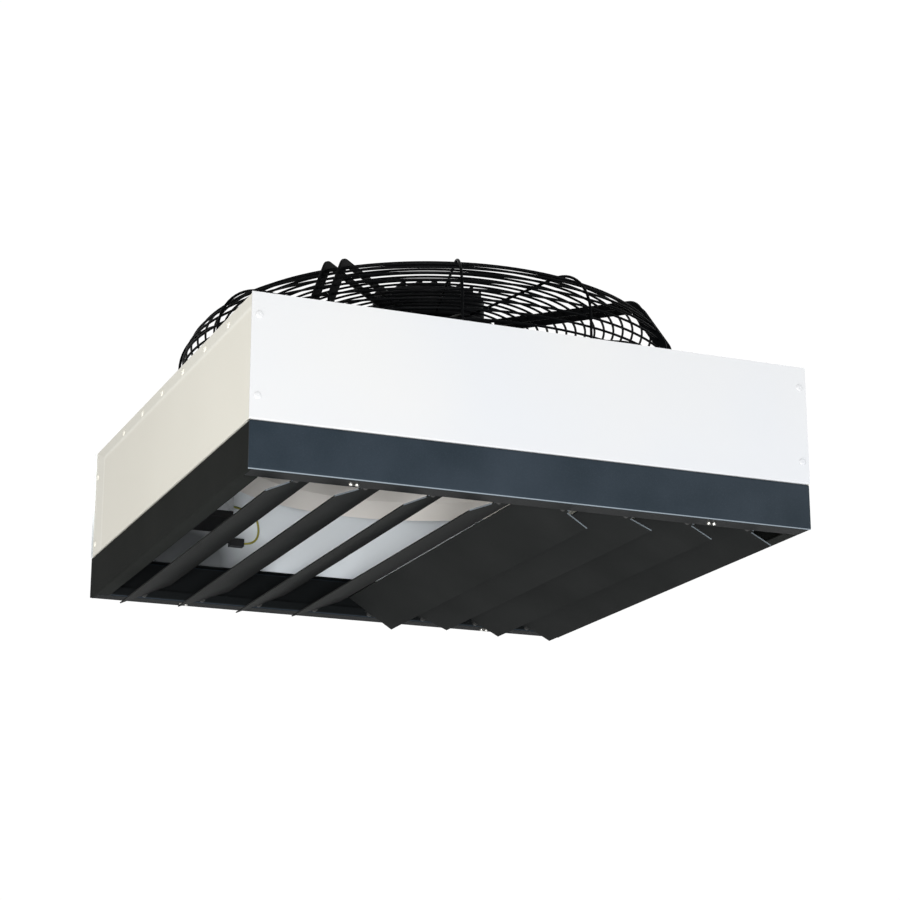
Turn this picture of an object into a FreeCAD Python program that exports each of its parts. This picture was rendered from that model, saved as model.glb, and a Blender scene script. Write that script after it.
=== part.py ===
import FreeCAD, Part
import math
import os

from FreeCAD import Vector

# Air recirculation unit that hangs from its top plate. X runs along the front, Y to the back, Z up.
# The origin is the middle of the suspension points, on the upper face of the top plate.

# Casing
casing_width = 700.0
casing_depth = 700.0
panel_height = 146.0
panel_sheet = 1.0
panel_return = 15.0
panel_bend = 1.0
margin_height = 18.0
margin_depth = 52.0
margin_lean = 2.0
top_sheet = 1.5
top_skirt = 18.0
top_skirt_end_gap = 40.0
laid_gap = 0.2
past = 1.0
tiny = 1e-6

# Corner angles and rivets of the casing
angle_leg = 24.0
angle_sheet = 1.5
rivet_head_radius = 4.2
rivet_head_height = 1.3
rivet_head_flats = 8
screw_head_flats = 6
front_rivet_inset = 9.0
front_rivet_drops = (26.0, 119.0)
side_rivet_drop = 10.0
side_rivet_count = 6
side_rivet_first = -260.0
side_rivet_pitch = 92.0
rear_margin_rivet_inset = 12.0

# Plinth
plinth_height = 56.0
plinth_sheet = 1.5
plinth_inset = 1.0
plinth_bend = 1.5
plinth_return = 15.0
front_flange = 30.0
side_flange = 20.0
lip_height = 12.0
bracket_leg = 22.0
bracket_height = 36.0
rim_screw_x = 223.0
rim_screw_pair = 9.0
rim_screw_head_radius = 3.4
rim_screw_head_height = 2.4

# Suspension nuts in the top plate
suspension_inset = 30.0
nut_bore_radius = 4.0
nut_body_flats = 6
nut_flange_flats = 8
nut_body_radius = 5.5
nut_flange_radius = 8.5
nut_flange_height = 1.5
nut_length = 15.0

# Louvre
louvre_count = 8
louvre_side_gap = 25.8
louvre_edge_gap = 5.8
louvre_sheet = 1.5
louvre_end_gap = 8.0
louvre_pivot_rise = 4.0
louvre_tilts = (65.9, 69.4, 66.3, 69.0, -57.6, -67.4, -62.5, -62.5)
tab_width = 15.0
tab_length = 6.5
pin_radius = 2.0
pin_running_gap = 0.05
pin_head_radius = 3.6
pin_head_length = 5.5
pin_head_flats = 8
pin_end_reach = 4.0
pin_slot_depth = 4.5

# Fan nozzle
fan_radius = 250.0
tip_gap = 4.0
nozzle_sheet = 1.5
nozzle_bell = 36.0
nozzle_throat = 14.0
nozzle_bell_steps = 3
nozzle_flats = 36
nozzle_depth = 71.0
nozzle_flare = 25.0
nozzle_flange = 24.0

# Fan guard
guard_margin = 29.0
guard_height = 109.0
guard_shoulder = 64.0
ring_wire = 3.5
ring_pitch = 12.2
ring_flats = 24
inner_ring_flats = 16
inner_ring_limit = 165.0
base_bar = 6.0
bar_depth = 8.0
bar_sheet = 3.0
bar_offset = 13.0
bar_shoulder_steps = 2
thin_wire = 5.0
thin_wire_shoulder_steps = 8
thin_wire_angles = (15.0, 75.0, 105.0, 165.0, 195.0, 255.0, 285.0, 345.0)
arm_angles = (45.0, 135.0, 225.0, 315.0)
foot_width = 18.0
foot_length = 34.0
foot_sheet = 3.0
foot_offset = 26.0
foot_screw_inset = 10.0
foot_screw_head_radius = 5.0
foot_screw_head_height = 3.3

# Motor and rotor
mount_ring_outer = 93.0
mount_ring_inner = 30.0
mount_ring_sheet = 4.0
bar_inner_gap = 4.0
motor_flats = 30
housing_radius = 73.0
housing_height = 50.0
housing_wall = 12.0
fin_count = 9
fin_width = 3.5
fin_height = 16.0
stator_radius = 57.0
stator_bottom = -18.0
stator_flange_radius = 66.0
stator_flange_height = 10.0
air_gap = 1.5
rotor_outer = 67.0
rotor_floor = 6.0
rotor_bottom = -30.0
rotor_top_gap = 5.0
shaft_radius = 8.0
bearing_outer = 19.0
bearing_height = 12.0
bearing_inset = 4.0
running_gap = 0.03
seat_gap = 0.05
hub_radius = 79.0
hub_top = 50.0

# Fan blades
blade_count = 5
blade_mid_height = 8.0
blade_stations = 5
root_chord = 96.0
tip_chord = 178.0
root_pitch = 50.0
tip_pitch = 28.0
root_camber = 0.09
tip_camber = 0.05
root_thickness = 6.0
tip_thickness = 3.0
blade_sweep = 27.0
sweep_growth = 1.6
blade_root_radius = 66.0
blade_chord_points = 5
blade_edge_taper = 0.55
blade_run_out = 4.0

# Wiring
box_side_gap = 16.8
box_rear_gap = 38.8
box_gland_side = 45.5
box_gland_front = 13.5
box_drop = 3.4
box_depth = 92.0
box_wall = 2.5
lid_height = 8.0
lead_radius = 3.9
lead_flats = 6
arc_share = 0.45
lead_angle = 135.0
lead_exit_run = 21.0
lead_exit_bend = 56.0
lead_drop_run = 59.0
lead_drop_bend = 100.0
gland_flats = 6
plate_gland_gap = 14.0
plate_gland_radius = 8.5
plate_gland_height = 16.0
plate_gland_thread = 6.0
housing_gland_radius = 8.0
housing_gland_length = 18.0
housing_gland_height = 17.0
clip_places = (172.0, 206.0, 240.0)
clip_sheet = 1.5
clip_width = 12.0
supply_gland_inset = 86.8
supply_gland_drop = 70.0
supply_gland_radius = 11.0
supply_gland_thread = 8.0
supply_gland_length = 22.0
supply_bore = 5.0
connector_gap = 32.0
connector_width = 20.0
connector_rise = 33.0
connector_height = 11.0
connector_depth = 11.0
earth_radius = 1.5
earth_exit_inset = 20.0
earth_exit_rise = 27.4
earth_exit_run = 34.0
earth_exit_side = 10.0
earth_loop_reach = 22.0
control_radius = 1.5
control_exit_inset = 26.0
control_exit_rise = 5.4
control_exit_run = 14.0
control_end_run = 16.0
control_hump = 4.0

top_z = 0.0
panel_bottom = top_z - panel_height
rim_z = panel_bottom - plinth_height
half_width = casing_width / 2
half_depth = casing_depth / 2
panel_inner_y = half_depth - panel_sheet - laid_gap
panel_inner_x = half_width - panel_sheet - laid_gap
plate_half_x = panel_inner_x - margin_lean
pivot_z = rim_z + louvre_pivot_rise
plinth_x = half_width - plinth_inset
plinth_y = half_depth - plinth_inset
louvre_pitch = 2 * (plinth_x - louvre_side_gap) / louvre_count
louvre_chord = louvre_pitch - louvre_edge_gap
louvre_length = 2 * (plinth_y - front_flange - louvre_end_gap)
side_bend_x = plinth_x - plinth_sheet - plinth_bend - past
nozzle_throat_radius = fan_radius + tip_gap
nozzle_mouth = nozzle_throat_radius + nozzle_bell
nozzle_outlet_radius = nozzle_throat_radius + nozzle_flare
guard_radius = nozzle_mouth + guard_margin
plate_gland_place = guard_radius + plate_gland_gap
shoulder_centre = guard_radius - guard_shoulder
shoulder_z = guard_height - guard_shoulder
mount_ring_bottom = guard_height - mount_ring_sheet
stator_flange_bottom = mount_ring_bottom - stator_flange_height
bar_inner_end = housing_radius + bar_inner_gap
gland_reach = plate_gland_place * math.sqrt(0.5)
box_x = (box_side_gap - plate_half_x, box_gland_side - gland_reach)
box_y = (gland_reach - box_gland_front, panel_inner_y - box_rear_gap)
supply_gland_x = supply_gland_inset - plate_half_x
connector_x = (box_x[1] + connector_gap, box_x[1] + connector_gap + connector_width)
connector_z = (panel_bottom + connector_rise, panel_bottom + connector_rise + connector_height)
earth_exit_y = box_y[1] - earth_exit_inset
control_exit_y = box_y[1] - control_exit_inset
slant = Vector(0.6, 0.0, 0.8)


def box(x_low, x_high, y_low, y_high, z_low, z_high):
    corner = Vector(x_low, y_low, z_low)
    return Part.makeBox(x_high - x_low, y_high - y_low, z_high - z_low, corner)


def disc(radius, z_low, z_high, x=0.0, y=0.0):
    return Part.makeCylinder(radius, z_high - z_low, Vector(x, y, z_low))


def many_sided(radius, flats, height, x=0.0, y=0.0):
    """A closed line of flats round a place, with its corners on the radius."""
    first = thin_wire_angles[0]
    points = []
    for number in range(flats):
        points.append(along_arm(first + 360.0 * number / flats, radius, 0, height) + Vector(x, y, 0))
    return Part.makePolygon(points + points[:1])


def prism(radius, flats, z_low, z_high, x=0.0, y=0.0):
    return Part.Face(many_sided(radius, flats, z_low, x, y)).extrude(Vector(0, 0, z_high - z_low))


def motor_prism(radius, z_low, z_high):
    return prism(radius, motor_flats, z_low, z_high)


def turned(shape, degrees, centre=Vector(0, 0, 0), axis=Vector(0, 0, 1)):
    copy = shape.copy()
    copy.rotate(centre, axis, degrees)
    return copy


def mirrored(shape, normal):
    return shape.mirror(Vector(0, 0, 0), normal)


def fuse(first, *others):
    return first.multiFuse(list(others)).removeSplitter()


def save(name, *solids):
    shape = solids[0] if len(solids) == 1 else Part.makeCompound(list(solids))
    for solid in shape.Solids:
        if not solid.isValid() or solid.Volume <= 0:
            raise ValueError(name + " holds a solid that is not sound")
    shape.exportStep("parts/" + name + ".step")


def rounded_line(points, radii):
    """Edges of a line through the points, with an arc of the given radius at each inner point."""
    edges = []
    start = points[0]
    for index in range(1, len(points) - 1):
        corner = points[index]
        way_in = (corner - points[index - 1]).normalize()
        way_out = (points[index + 1] - corner).normalize()
        turn = way_in.getAngle(way_out)
        radius = radii[index - 1]
        reach = radius * math.tan(turn / 2)
        inward = (way_out - way_in).normalize()
        arc_start = corner - way_in * reach
        arc_end = corner + way_out * reach
        arc_mid = corner + inward * (radius / math.cos(turn / 2) - radius)
        if (arc_start - start).Length > tiny:
            edges.append(Part.LineSegment(start, arc_start).toShape())
        edges.append(Part.Arc(arc_start, arc_mid, arc_end).toShape())
        start = arc_end
    edges.append(Part.LineSegment(start, points[-1]).toShape())
    return edges


def sheet_sides(points, sheet, along):
    """The ways of a folded sheet's runs, their sides, and the line on the sheet's other face."""
    ways = [(after - before).normalize() for before, after in zip(points, points[1:])]
    sides = [along.cross(way) for way in ways]
    inner = [points[0] + sides[0] * sheet]
    for point, before, after in zip(points[1:], sides, sides[1:]):
        inner.append(point + (before + after) * (sheet / (1 + before.dot(after))))
    inner.append(points[-1] + sides[-1] * sheet)
    return ways, sides, inner


def sheet_face(points, sheet, bends, along):
    """The section of a folded sheet: its outer line and its thickness, on the side of along x line."""
    ways, sides, inner = sheet_sides(points, sheet, along)
    outer_radii = []
    inner_radii = []
    for bend, way, before in zip(bends, ways[1:], sides):
        turns_inward = way.dot(before) > 0
        outer_radii.append(bend + sheet if turns_inward else bend)
        inner_radii.append(bend if turns_inward else bend + sheet)
    edges = rounded_line(points, outer_radii)
    edges.append(Part.LineSegment(points[-1], inner[-1]).toShape())
    edges += rounded_line(inner[::-1], inner_radii[::-1])
    edges.append(Part.LineSegment(inner[0], points[0]).toShape())
    return Part.Face(Part.Wire(Part.__sortEdges__(edges)))


def drill(shape, place, direction, radius, depth):
    return shape.cut(Part.makeCylinder(radius, depth, place, direction))


def arc_radii(points):
    """The largest arcs that a cable's runs allow: each takes nearly half of the shorter run beside it."""
    radii = []
    for before, corner, after in zip(points, points[1:], points[2:]):
        turn = (corner - before).getAngle(after - corner)
        shorter = min((corner - before).Length, (after - corner).Length)
        radii.append(arc_share * shorter / math.tan(turn / 2))
    return radii


def lead(points, radii, radius):
    """A cable along straight runs that are joined by arcs, with flats round its section."""
    edges = rounded_line(points, radii)
    start = (points[1] - points[0]).normalize()
    across = start.cross(slant).normalize()
    corners = []
    for number in range(lead_flats):
        turn = FreeCAD.Rotation(start, 360.0 * number / lead_flats)
        corners.append(points[0] + turn.multVec(across) * radius)
    section = Part.makePolygon(corners + corners[:1])
    solid = Part.Wire(edges).makePipeShell([section], True, False)
    length = sum(edge.Length for edge in edges)
    drift = solid.Volume / (Part.Face(section).Area * length) - 1
    print("cable length %.0f, arcs %s, volume off by %.4f" % (length, [round(r) for r in radii], drift))
    return solid


def along_arm(angle, distance, offset, height):
    """A point at a distance from the middle along an arm, moved sideways by the offset."""
    way = math.radians(angle)
    x = distance * math.cos(way) - offset * math.sin(way)
    y = distance * math.sin(way) + offset * math.cos(way)
    return Vector(x, y, height)


def end_panel():
    """The front panel: a flat sheet with a return under it. The rear panel is its mirror image."""
    left = -half_width
    front = -half_depth
    line = [
        Vector(left, front, top_z),
        Vector(left, front, panel_bottom),
        Vector(left, front + panel_return, panel_bottom),
    ]
    face = sheet_face(line, panel_sheet, [panel_bend], Vector(1, 0, 0))
    panel = face.extrude(Vector(casing_width, 0, 0))
    return cut_behind_wall(panel, plate_half_x, front + panel_sheet, panel_bottom)


def cut_behind_wall(shape, reach, wall_y, low):
    """Takes off both ends of a folded sheet behind its wall, so that the side sheet runs past them."""
    cuts = []
    for side in (-1, 1):
        xs = sorted((side * reach, side * casing_width))
        cuts.append(box(xs[0], xs[1], wall_y, 0, low - past, top_z + past))
    return shape.cut(cuts)


def side_panel():
    """The left side: its top and rear margins lean inwards and meet in a mitre."""
    front = -panel_inner_y
    rear = panel_inner_y
    crease_y = rear - margin_depth
    crease_z = top_z - margin_height

    def frame(x, y_rear, z_top):
        corners = [(front, panel_bottom), (y_rear, panel_bottom), (y_rear, z_top), (front, z_top)]
        points = [Vector(x, y, z) for y, z in corners]
        return Part.makePolygon(points + points[:1])

    face_x = -half_width
    margin_x = face_x + margin_lean
    field = Part.makeLoft([frame(face_x, crease_y, crease_z), frame(margin_x, rear, top_z)], True, True)
    block = box(margin_x, margin_x + panel_return, front, rear, panel_bottom, top_z)
    body = field.fuse(block)
    sheet = body.cut(body.translated(Vector(panel_sheet, 0, 0)))
    end = half_depth - panel_return - laid_gap
    inside = face_x + panel_sheet
    fold = box(inside, face_x + panel_return, -end, end, panel_bottom, panel_bottom + panel_sheet)
    return fuse(sheet, fold)


def top_plate():
    """The upper sheet with its four skirts, the fan hole and the holes for nuts and gland."""
    low = top_z - top_sheet
    plate = box(-plate_half_x, plate_half_x, -panel_inner_y, panel_inner_y, low, top_z)
    skirt_low = top_z - top_skirt
    end_x = plate_half_x - top_skirt_end_gap
    end_y = panel_inner_y - top_skirt_end_gap
    skirts = []
    for side in (-1, 1):
        xs = sorted((side * plate_half_x, side * (plate_half_x - top_sheet)))
        ys = sorted((side * panel_inner_y, side * (panel_inner_y - top_sheet)))
        skirts.append(box(xs[0], xs[1], -end_y, end_y, skirt_low, low))
        skirts.append(box(-end_x, end_x, ys[0], ys[1], skirt_low, low))
    plate = fuse(plate, *skirts)
    holes = [prism(nozzle_mouth, nozzle_flats, low - past, top_z + past)]
    for x, y in suspension_places():
        holes.append(prism(nut_body_radius + seat_gap, nut_body_flats, low - past, top_z + past, x, y))
    gland = along_arm(lead_angle, plate_gland_place, 0, 0)
    holes.append(disc(plate_gland_thread, low - past, top_z + past, gland.x, gland.y))
    return plate.cut(holes)


def suspension_places():
    half_x = half_width - suspension_inset
    half_y = half_depth - suspension_inset
    return [(sx * half_x, sy * half_y) for sx in (-1, 1) for sy in (-1, 1)]


def foot_screw_places():
    distance = guard_radius - base_bar + foot_length - foot_screw_inset
    places = []
    for angle in arm_angles:
        places += [along_arm(angle, distance, side * foot_offset, 0) for side in (-1, 1)]
    return places


def suspension_nut(x, y):
    """A six-sided threaded insert that is closed up in the top plate, open from above."""
    low = top_z + nut_flange_height - nut_length
    flange = prism(nut_flange_radius, nut_flange_flats, top_z, top_z + nut_flange_height, x, y)
    body = prism(nut_body_radius, nut_body_flats, low, top_z, x, y)
    bore = disc(nut_bore_radius, top_z - nut_length - past, top_z + nut_flange_height + past, x, y)
    return fuse(flange, body).cut(bore)


def corner_angle(side_x, side_y):
    """An angle in a corner of the casing, between the top plate's skirts and the panels' returns."""
    low = panel_bottom + panel_sheet + panel_bend + laid_gap
    high = top_z - top_skirt - laid_gap
    x = plate_half_x if side_y > 0 else panel_inner_x
    y = panel_inner_y
    leg_y = box(x - angle_sheet, x, y - angle_leg, y, low, high)
    leg_x = box(x - angle_leg, x, y - angle_sheet, y, low, high)
    angle = fuse(leg_x, leg_y)
    if side_x < 0:
        angle = mirrored(angle, Vector(1, 0, 0))
    return angle if side_y > 0 else mirrored(angle, Vector(0, 1, 0))


def rivet_head(place, outward):
    """A blind rivet's head on the outside of a sheet."""
    return many_sided_head(place, outward, rivet_head_radius, rivet_head_height, rivet_head_flats)


def many_sided_head(place, outward, radius, height, flats):
    """The head of a screw or a rivet, laid on a sheet with its first corner along the sheet's run."""
    across = outward.cross(slant).normalize()
    corners = []
    for number in range(flats):
        turn = FreeCAD.Rotation(outward, 360.0 * number / flats)
        corners.append(place + turn.multVec(across) * radius)
    return Part.Face(Part.makePolygon(corners + corners[:1])).extrude(outward * height)


def panel_rivets():
    heads = []
    for side in (-1, 1):
        x = side * (half_width - front_rivet_inset)
        for drop in front_rivet_drops:
            heads.append(rivet_head(Vector(x, -half_depth, -drop), Vector(0, -1, 0)))
            heads.append(rivet_head(Vector(x, half_depth, -drop), Vector(0, 1, 0)))
    return heads


def side_rivets():
    """Rivets in the leaning margins of both side panels, square to the sheet they hold."""
    heads = []
    top_lean = math.atan2(margin_lean, margin_height)
    rear_lean = math.atan2(margin_lean, margin_depth)
    top_x = half_width - margin_lean * (margin_height - side_rivet_drop) / margin_height
    rear_x = half_width - margin_lean * (margin_depth - rear_margin_rivet_inset) / margin_depth
    for side in (-1, 1):
        top_out = Vector(side * math.cos(top_lean), 0, math.sin(top_lean))
        rear_out = Vector(side * math.cos(rear_lean), math.sin(rear_lean), 0)
        for number in range(side_rivet_count):
            y = side_rivet_first + number * side_rivet_pitch
            heads.append(rivet_head(Vector(side * top_x, y, -side_rivet_drop), top_out))
        for drop in front_rivet_drops:
            y = panel_inner_y - rear_margin_rivet_inset
            heads.append(rivet_head(Vector(side * rear_x, y, -drop - side_rivet_drop), rear_out))
    return heads


def inlet_nozzle():
    """The fan nozzle: a flange under the top plate, a stepped bell mouth, a throat and a flared outlet."""
    top = top_z - top_sheet - laid_gap
    throat_end = top - nozzle_bell - nozzle_throat
    line = [Vector(nozzle_mouth + nozzle_flange, 0, top)]
    for number in range(nozzle_bell_steps + 1):
        angle = math.pi / 2 * number / nozzle_bell_steps
        x = nozzle_mouth - nozzle_bell * math.sin(angle)
        line.append(Vector(x, 0, top - nozzle_bell * (1 - math.cos(angle))))
    line.append(Vector(nozzle_throat_radius, 0, throat_end))
    line.append(Vector(nozzle_outlet_radius, 0, top_z - nozzle_depth))
    outside = sheet_sides(line, nozzle_sheet, Vector(0, -1, 0))[2]
    flange = prism(nozzle_mouth + nozzle_flange, nozzle_flats, top - nozzle_sheet, top)
    return fuse(flange, nozzle_loft(outside[1:])).cut(nozzle_loft(line[1:]))


def nozzle_loft(line):
    """A solid through many-sided sections, one for each point of the line."""
    sections = [many_sided(point.x, nozzle_flats, point.z) for point in line]
    return Part.makeLoft(sections, True, True)


def end_rail():
    """The plinth's front rail: return, wall, bottom flange and the lip that carries the louvres."""
    left = -plinth_x
    top = panel_bottom - laid_gap
    lip_y = -plinth_y + front_flange
    line = [
        Vector(left, -plinth_y + plinth_return, top),
        Vector(left, -plinth_y, top),
        Vector(left, -plinth_y, rim_z),
        Vector(left, lip_y, rim_z),
        Vector(left, lip_y, rim_z + lip_height),
    ]
    section = sheet_face(line, plinth_sheet, [plinth_bend] * 3, Vector(1, 0, 0))
    rail = section.extrude(Vector(2 * plinth_x, 0, 0))
    rail = cut_behind_wall(rail, side_bend_x - laid_gap, -plinth_y + plinth_sheet, rim_z)
    holes = []
    for x in louvre_places():
        start = Vector(x, lip_y - 2 * plinth_sheet, pivot_z)
        hole_radius = pin_radius + pin_running_gap
        holes.append(Part.makeCylinder(hole_radius, 3 * plinth_sheet, start, Vector(0, 1, 0)))
    return rail.cut(holes)


def side_rail():
    """The plinth's left rail: it stands between the end rails, with a narrower bottom flange."""
    end = plinth_y - plinth_sheet - laid_gap
    top = panel_bottom - laid_gap
    line = [
        Vector(-plinth_x + plinth_return, -end, top),
        Vector(-plinth_x, -end, top),
        Vector(-plinth_x, -end, rim_z),
        Vector(-plinth_x + side_flange, -end, rim_z),
    ]
    section = sheet_face(line, plinth_sheet, [plinth_bend] * 2, Vector(0, -1, 0))
    rail = section.extrude(Vector(0, 2 * end, 0))
    cuts = []
    for side in (-1, 1):
        flange_start = plinth_y - front_flange - laid_gap
        return_start = plinth_y - plinth_return - laid_gap
        ys = sorted((side * flange_start, side * half_depth))
        cuts.append(box(-side_bend_x, 0, ys[0], ys[1], rim_z - past, rim_z + lip_height))
        ys = sorted((side * return_start, side * half_depth))
        cuts.append(box(-side_bend_x, 0, ys[0], ys[1], top - plinth_height / 2, top + past))
    return rail.cut(cuts)


def louvre_places():
    middle = (louvre_count - 1) / 2
    return [(number - middle) * louvre_pitch for number in range(louvre_count)]


def rim_screw_places():
    half = rim_screw_pair / 2
    return [side * rim_screw_x + step for side in (-1, 1) for step in (-half, half)]


def rim_screws():
    """The heads of the screws under the plinth's front and rear flanges."""
    screws = []
    for side in (-1, 1):
        for x in rim_screw_places():
            place = Vector(x, side * (plinth_y - front_flange / 2), rim_z)
            down = Vector(0, 0, -1)
            screws.append(
                many_sided_head(place, down, rim_screw_head_radius, rim_screw_head_height, screw_head_flats)
            )
    return screws


def plinth_bracket(side_x, side_y):
    """An angle inside a corner of the plinth."""
    x = plinth_x - plinth_sheet - laid_gap
    y = plinth_y - plinth_sheet - laid_gap
    low = rim_z + plinth_sheet + plinth_bend + laid_gap
    high = low + bracket_height
    leg_x = box(x - bracket_leg, x, y - angle_sheet, y, low, high)
    leg_y = box(x - angle_sheet, x, y - bracket_leg, y, low, high)
    bracket = fuse(leg_x, leg_y)
    if side_x < 0:
        bracket = mirrored(bracket, Vector(1, 0, 0))
    return bracket if side_y > 0 else mirrored(bracket, Vector(0, 1, 0))


def louvre_blade(x, tilt):
    """A flat blade with a narrow tab at each end, turned about its own middle line."""
    half = louvre_length / 2
    thick = louvre_sheet / 2
    blade = box(-thick, thick, -half, half, -louvre_chord / 2, louvre_chord / 2)
    tab = box(-thick, thick, -half - tab_length, half + tab_length, -tab_width / 2, tab_width / 2)
    shape = turned(fuse(blade, tab), tilt, axis=Vector(0, 1, 0))
    shape.translate(Vector(x, 0, pivot_z))
    return shape


def louvre_pins(x, tilt):
    """Two slotted pins: each grips a tab and turns in the hole of the plinth's lip."""
    tab_end = louvre_length / 2 + tab_length
    lip_inner = plinth_y - front_flange
    head_start = tab_end - pin_slot_depth
    head_end = min(head_start + pin_head_length, lip_inner - laid_gap)
    pins = []
    for side in (-1, 1):
        out = Vector(0, side, 0)
        head_length = head_end - head_start
        head = many_sided_head(out * head_start, out, pin_head_radius, head_length, pin_head_flats)
        journal_length = lip_inner + plinth_sheet + pin_end_reach - head_end
        journal = Part.makeCylinder(pin_radius, journal_length, out * head_end, out)
        thick = louvre_sheet / 2
        ys = sorted((side * (head_start - past), side * tab_end))
        reach = pin_head_radius + past
        slot = box(-thick, thick, ys[0], ys[1], -reach, reach)
        pin = turned(fuse(head, journal).cut(slot), tilt, axis=Vector(0, 1, 0))
        pin.translate(Vector(x, 0, pivot_z))
        pins.append(pin)
    return pins


def wire_ring(radius, height, size):
    """A ring of the guard: square wire laid in short flats. Radius and height are its outer top corner."""
    flats = ring_flats if radius > inner_ring_limit else inner_ring_flats
    inner = prism(radius - size, flats, height - size - past, height + past)
    return prism(radius, flats, height - size, height).cut(inner)


def side_rings():
    low = foot_sheet + base_bar
    count = int((shoulder_z - low) // ring_pitch)
    heights = [shoulder_z - number * ring_pitch for number in range(1, count + 1)]
    return [wire_ring(guard_radius, height, ring_wire) for height in heights]


def shoulder_rings():
    steps = round(math.pi / 2 * guard_shoulder / ring_pitch)
    rings = []
    for number in range(steps + 1):
        angle = math.pi / 2 * number / steps
        radius = shoulder_centre + guard_shoulder * math.cos(angle)
        height = shoulder_z + guard_shoulder * math.sin(angle)
        rings.append(wire_ring(radius, height, ring_wire))
    return rings


def top_rings():
    count = int((shoulder_centre - mount_ring_outer - ring_wire) // ring_pitch)
    radii = [shoulder_centre - number * ring_pitch for number in range(1, count + 1)]
    return [wire_ring(radius, guard_height, ring_wire) for radius in radii]


def arm_strip(depth, width, shoulder_steps, inner_end):
    """A strip on edge along +X: up the guard's side, over its shoulder in steps and inwards on top."""
    line = [Vector(guard_radius, 0, foot_sheet)]
    step = math.pi / 2 / shoulder_steps
    for number in range(shoulder_steps):
        angle = step * (number + 0.5)
        reach = guard_shoulder / math.cos(step / 2)
        x = shoulder_centre + reach * math.cos(angle)
        line.append(Vector(x, 0, shoulder_z + reach * math.sin(angle)))
    line.append(Vector(inner_end, 0, guard_height))
    outside = sheet_sides(line, depth, Vector(0, 1, 0))[2]
    section = Part.Face(Part.makePolygon(line + outside[::-1] + line[:1]))
    return section.translated(Vector(0, -width / 2, 0)).extrude(Vector(0, width, 0))


def support_bars():
    """Pairs of flat strips on edge that carry the motor."""
    bar = arm_strip(bar_depth, bar_sheet, bar_shoulder_steps, bar_inner_end)
    bars = []
    for angle in arm_angles:
        for side in (-1, 1):
            bars.append(turned(bar.translated(Vector(0, side * bar_offset, 0)), angle))
    return bars


def thin_wires():
    wire = arm_strip(thin_wire, thin_wire, thin_wire_shoulder_steps, mount_ring_outer - thin_wire)
    return [turned(wire, angle) for angle in thin_wire_angles]


def guard_feet():
    """Flat lugs under the base ring, one beside each support bar, that its screw holds down."""
    inner = guard_radius - base_bar
    half = foot_width / 2
    feet = []
    for angle in arm_angles:
        for side in (-1, 1):
            middle = side * foot_offset
            foot = box(inner, inner + foot_length, middle - half, middle + half, 0, foot_sheet)
            feet.append(turned(foot, angle))
    return feet


def foot_screws():
    """The heads of the screws that hold the guard's feet down."""
    up = Vector(0, 0, 1)
    heads = []
    for place in foot_screw_places():
        seat = place + up * foot_sheet
        heads.append(
            many_sided_head(seat, up, foot_screw_head_radius, foot_screw_head_height, screw_head_flats)
        )
    return heads


def mount_ring():
    hole = motor_prism(mount_ring_inner, mount_ring_bottom - past, guard_height + past)
    return motor_prism(mount_ring_outer, mount_ring_bottom, guard_height).cut(hole)


def electronics_housing():
    """The motor's housing above the guard, with cooling fins cut across its top."""
    low = guard_height
    high = low + housing_height
    body = motor_prism(housing_radius, low, high)
    slot_count = fin_count - 1
    pitch = (2 * housing_radius - fin_width) / slot_count
    slots = []
    for number in range(slot_count):
        x = -housing_radius + fin_width + number * pitch
        slot_end = x + pitch - fin_width
        slots.append(box(x, slot_end, -housing_radius, housing_radius, high - fin_height, high + past))
    body = body.cut(slots)
    cavity = motor_prism(housing_radius - housing_wall, low, high - fin_height - housing_wall / 2)
    return body.cut(cavity)


def stator():
    """The wound stator on its flange, with the bore for the two bearings."""
    flange = motor_prism(stator_flange_radius, stator_flange_bottom, mount_ring_bottom)
    core = motor_prism(stator_radius, stator_bottom, stator_flange_bottom)
    bore = motor_prism(bearing_outer + seat_gap, stator_bottom - past, stator_flange_bottom)
    return fuse(flange, core).cut(bore)


def bearings():
    top = stator_flange_bottom - bearing_inset
    low = stator_bottom + bearing_inset
    bore = disc(shaft_radius + running_gap, stator_bottom, stator_flange_bottom)
    spans = ((top - bearing_height, top), (low, low + bearing_height))
    return [motor_prism(bearing_outer, *span).cut(bore) for span in spans]


def rotor_can():
    """The motor's outer rotor: a cup round the stator, open upwards."""
    top = stator_flange_bottom - rotor_top_gap
    cup = motor_prism(rotor_outer, rotor_bottom, top)
    return cup.cut(motor_prism(stator_radius + air_gap, rotor_bottom + rotor_floor, top + past))


def rotor_shaft():
    return disc(shaft_radius, rotor_bottom + rotor_floor, stator_flange_bottom - bearing_inset / 2)


def impeller_hub():
    """The ring that carries the fan blades, pressed over the rotor, with a floor below it."""
    low = rotor_bottom - rotor_floor
    hollow = motor_prism(rotor_outer + seat_gap, rotor_bottom, hub_top + past)
    return motor_prism(hub_radius, low, hub_top).cut(hollow)


def blade_section(share):
    """The blade's section at a share of its span, flat and square to the line from the fan's axis."""
    radius = blade_root_radius + share * (fan_radius - blade_root_radius)
    chord = root_chord + share * (tip_chord - root_chord)
    pitch = math.radians(root_pitch + share * (tip_pitch - root_pitch))
    camber = chord * (root_camber + share * (tip_camber - root_camber))
    thickness = root_thickness + share * (tip_thickness - root_thickness)
    sweep = blade_sweep * share ** sweep_growth

    def place(along, off):
        tangent = along * math.cos(pitch) - off * math.sin(pitch)
        height = along * math.sin(pitch) + off * math.cos(pitch)
        return along_arm(sweep, radius, tangent, blade_mid_height + height)

    upper = []
    lower = []
    for number in range(blade_chord_points):
        station = number / (blade_chord_points - 1) - 0.5
        arch = camber * (1 - 4 * station ** 2)
        half = thickness / 2 * (1 - blade_edge_taper * 4 * station ** 2)
        upper.append(place(station * chord, arch + half))
        lower.append(place(station * chord, arch - half))
    return upper + lower[::-1]


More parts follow.
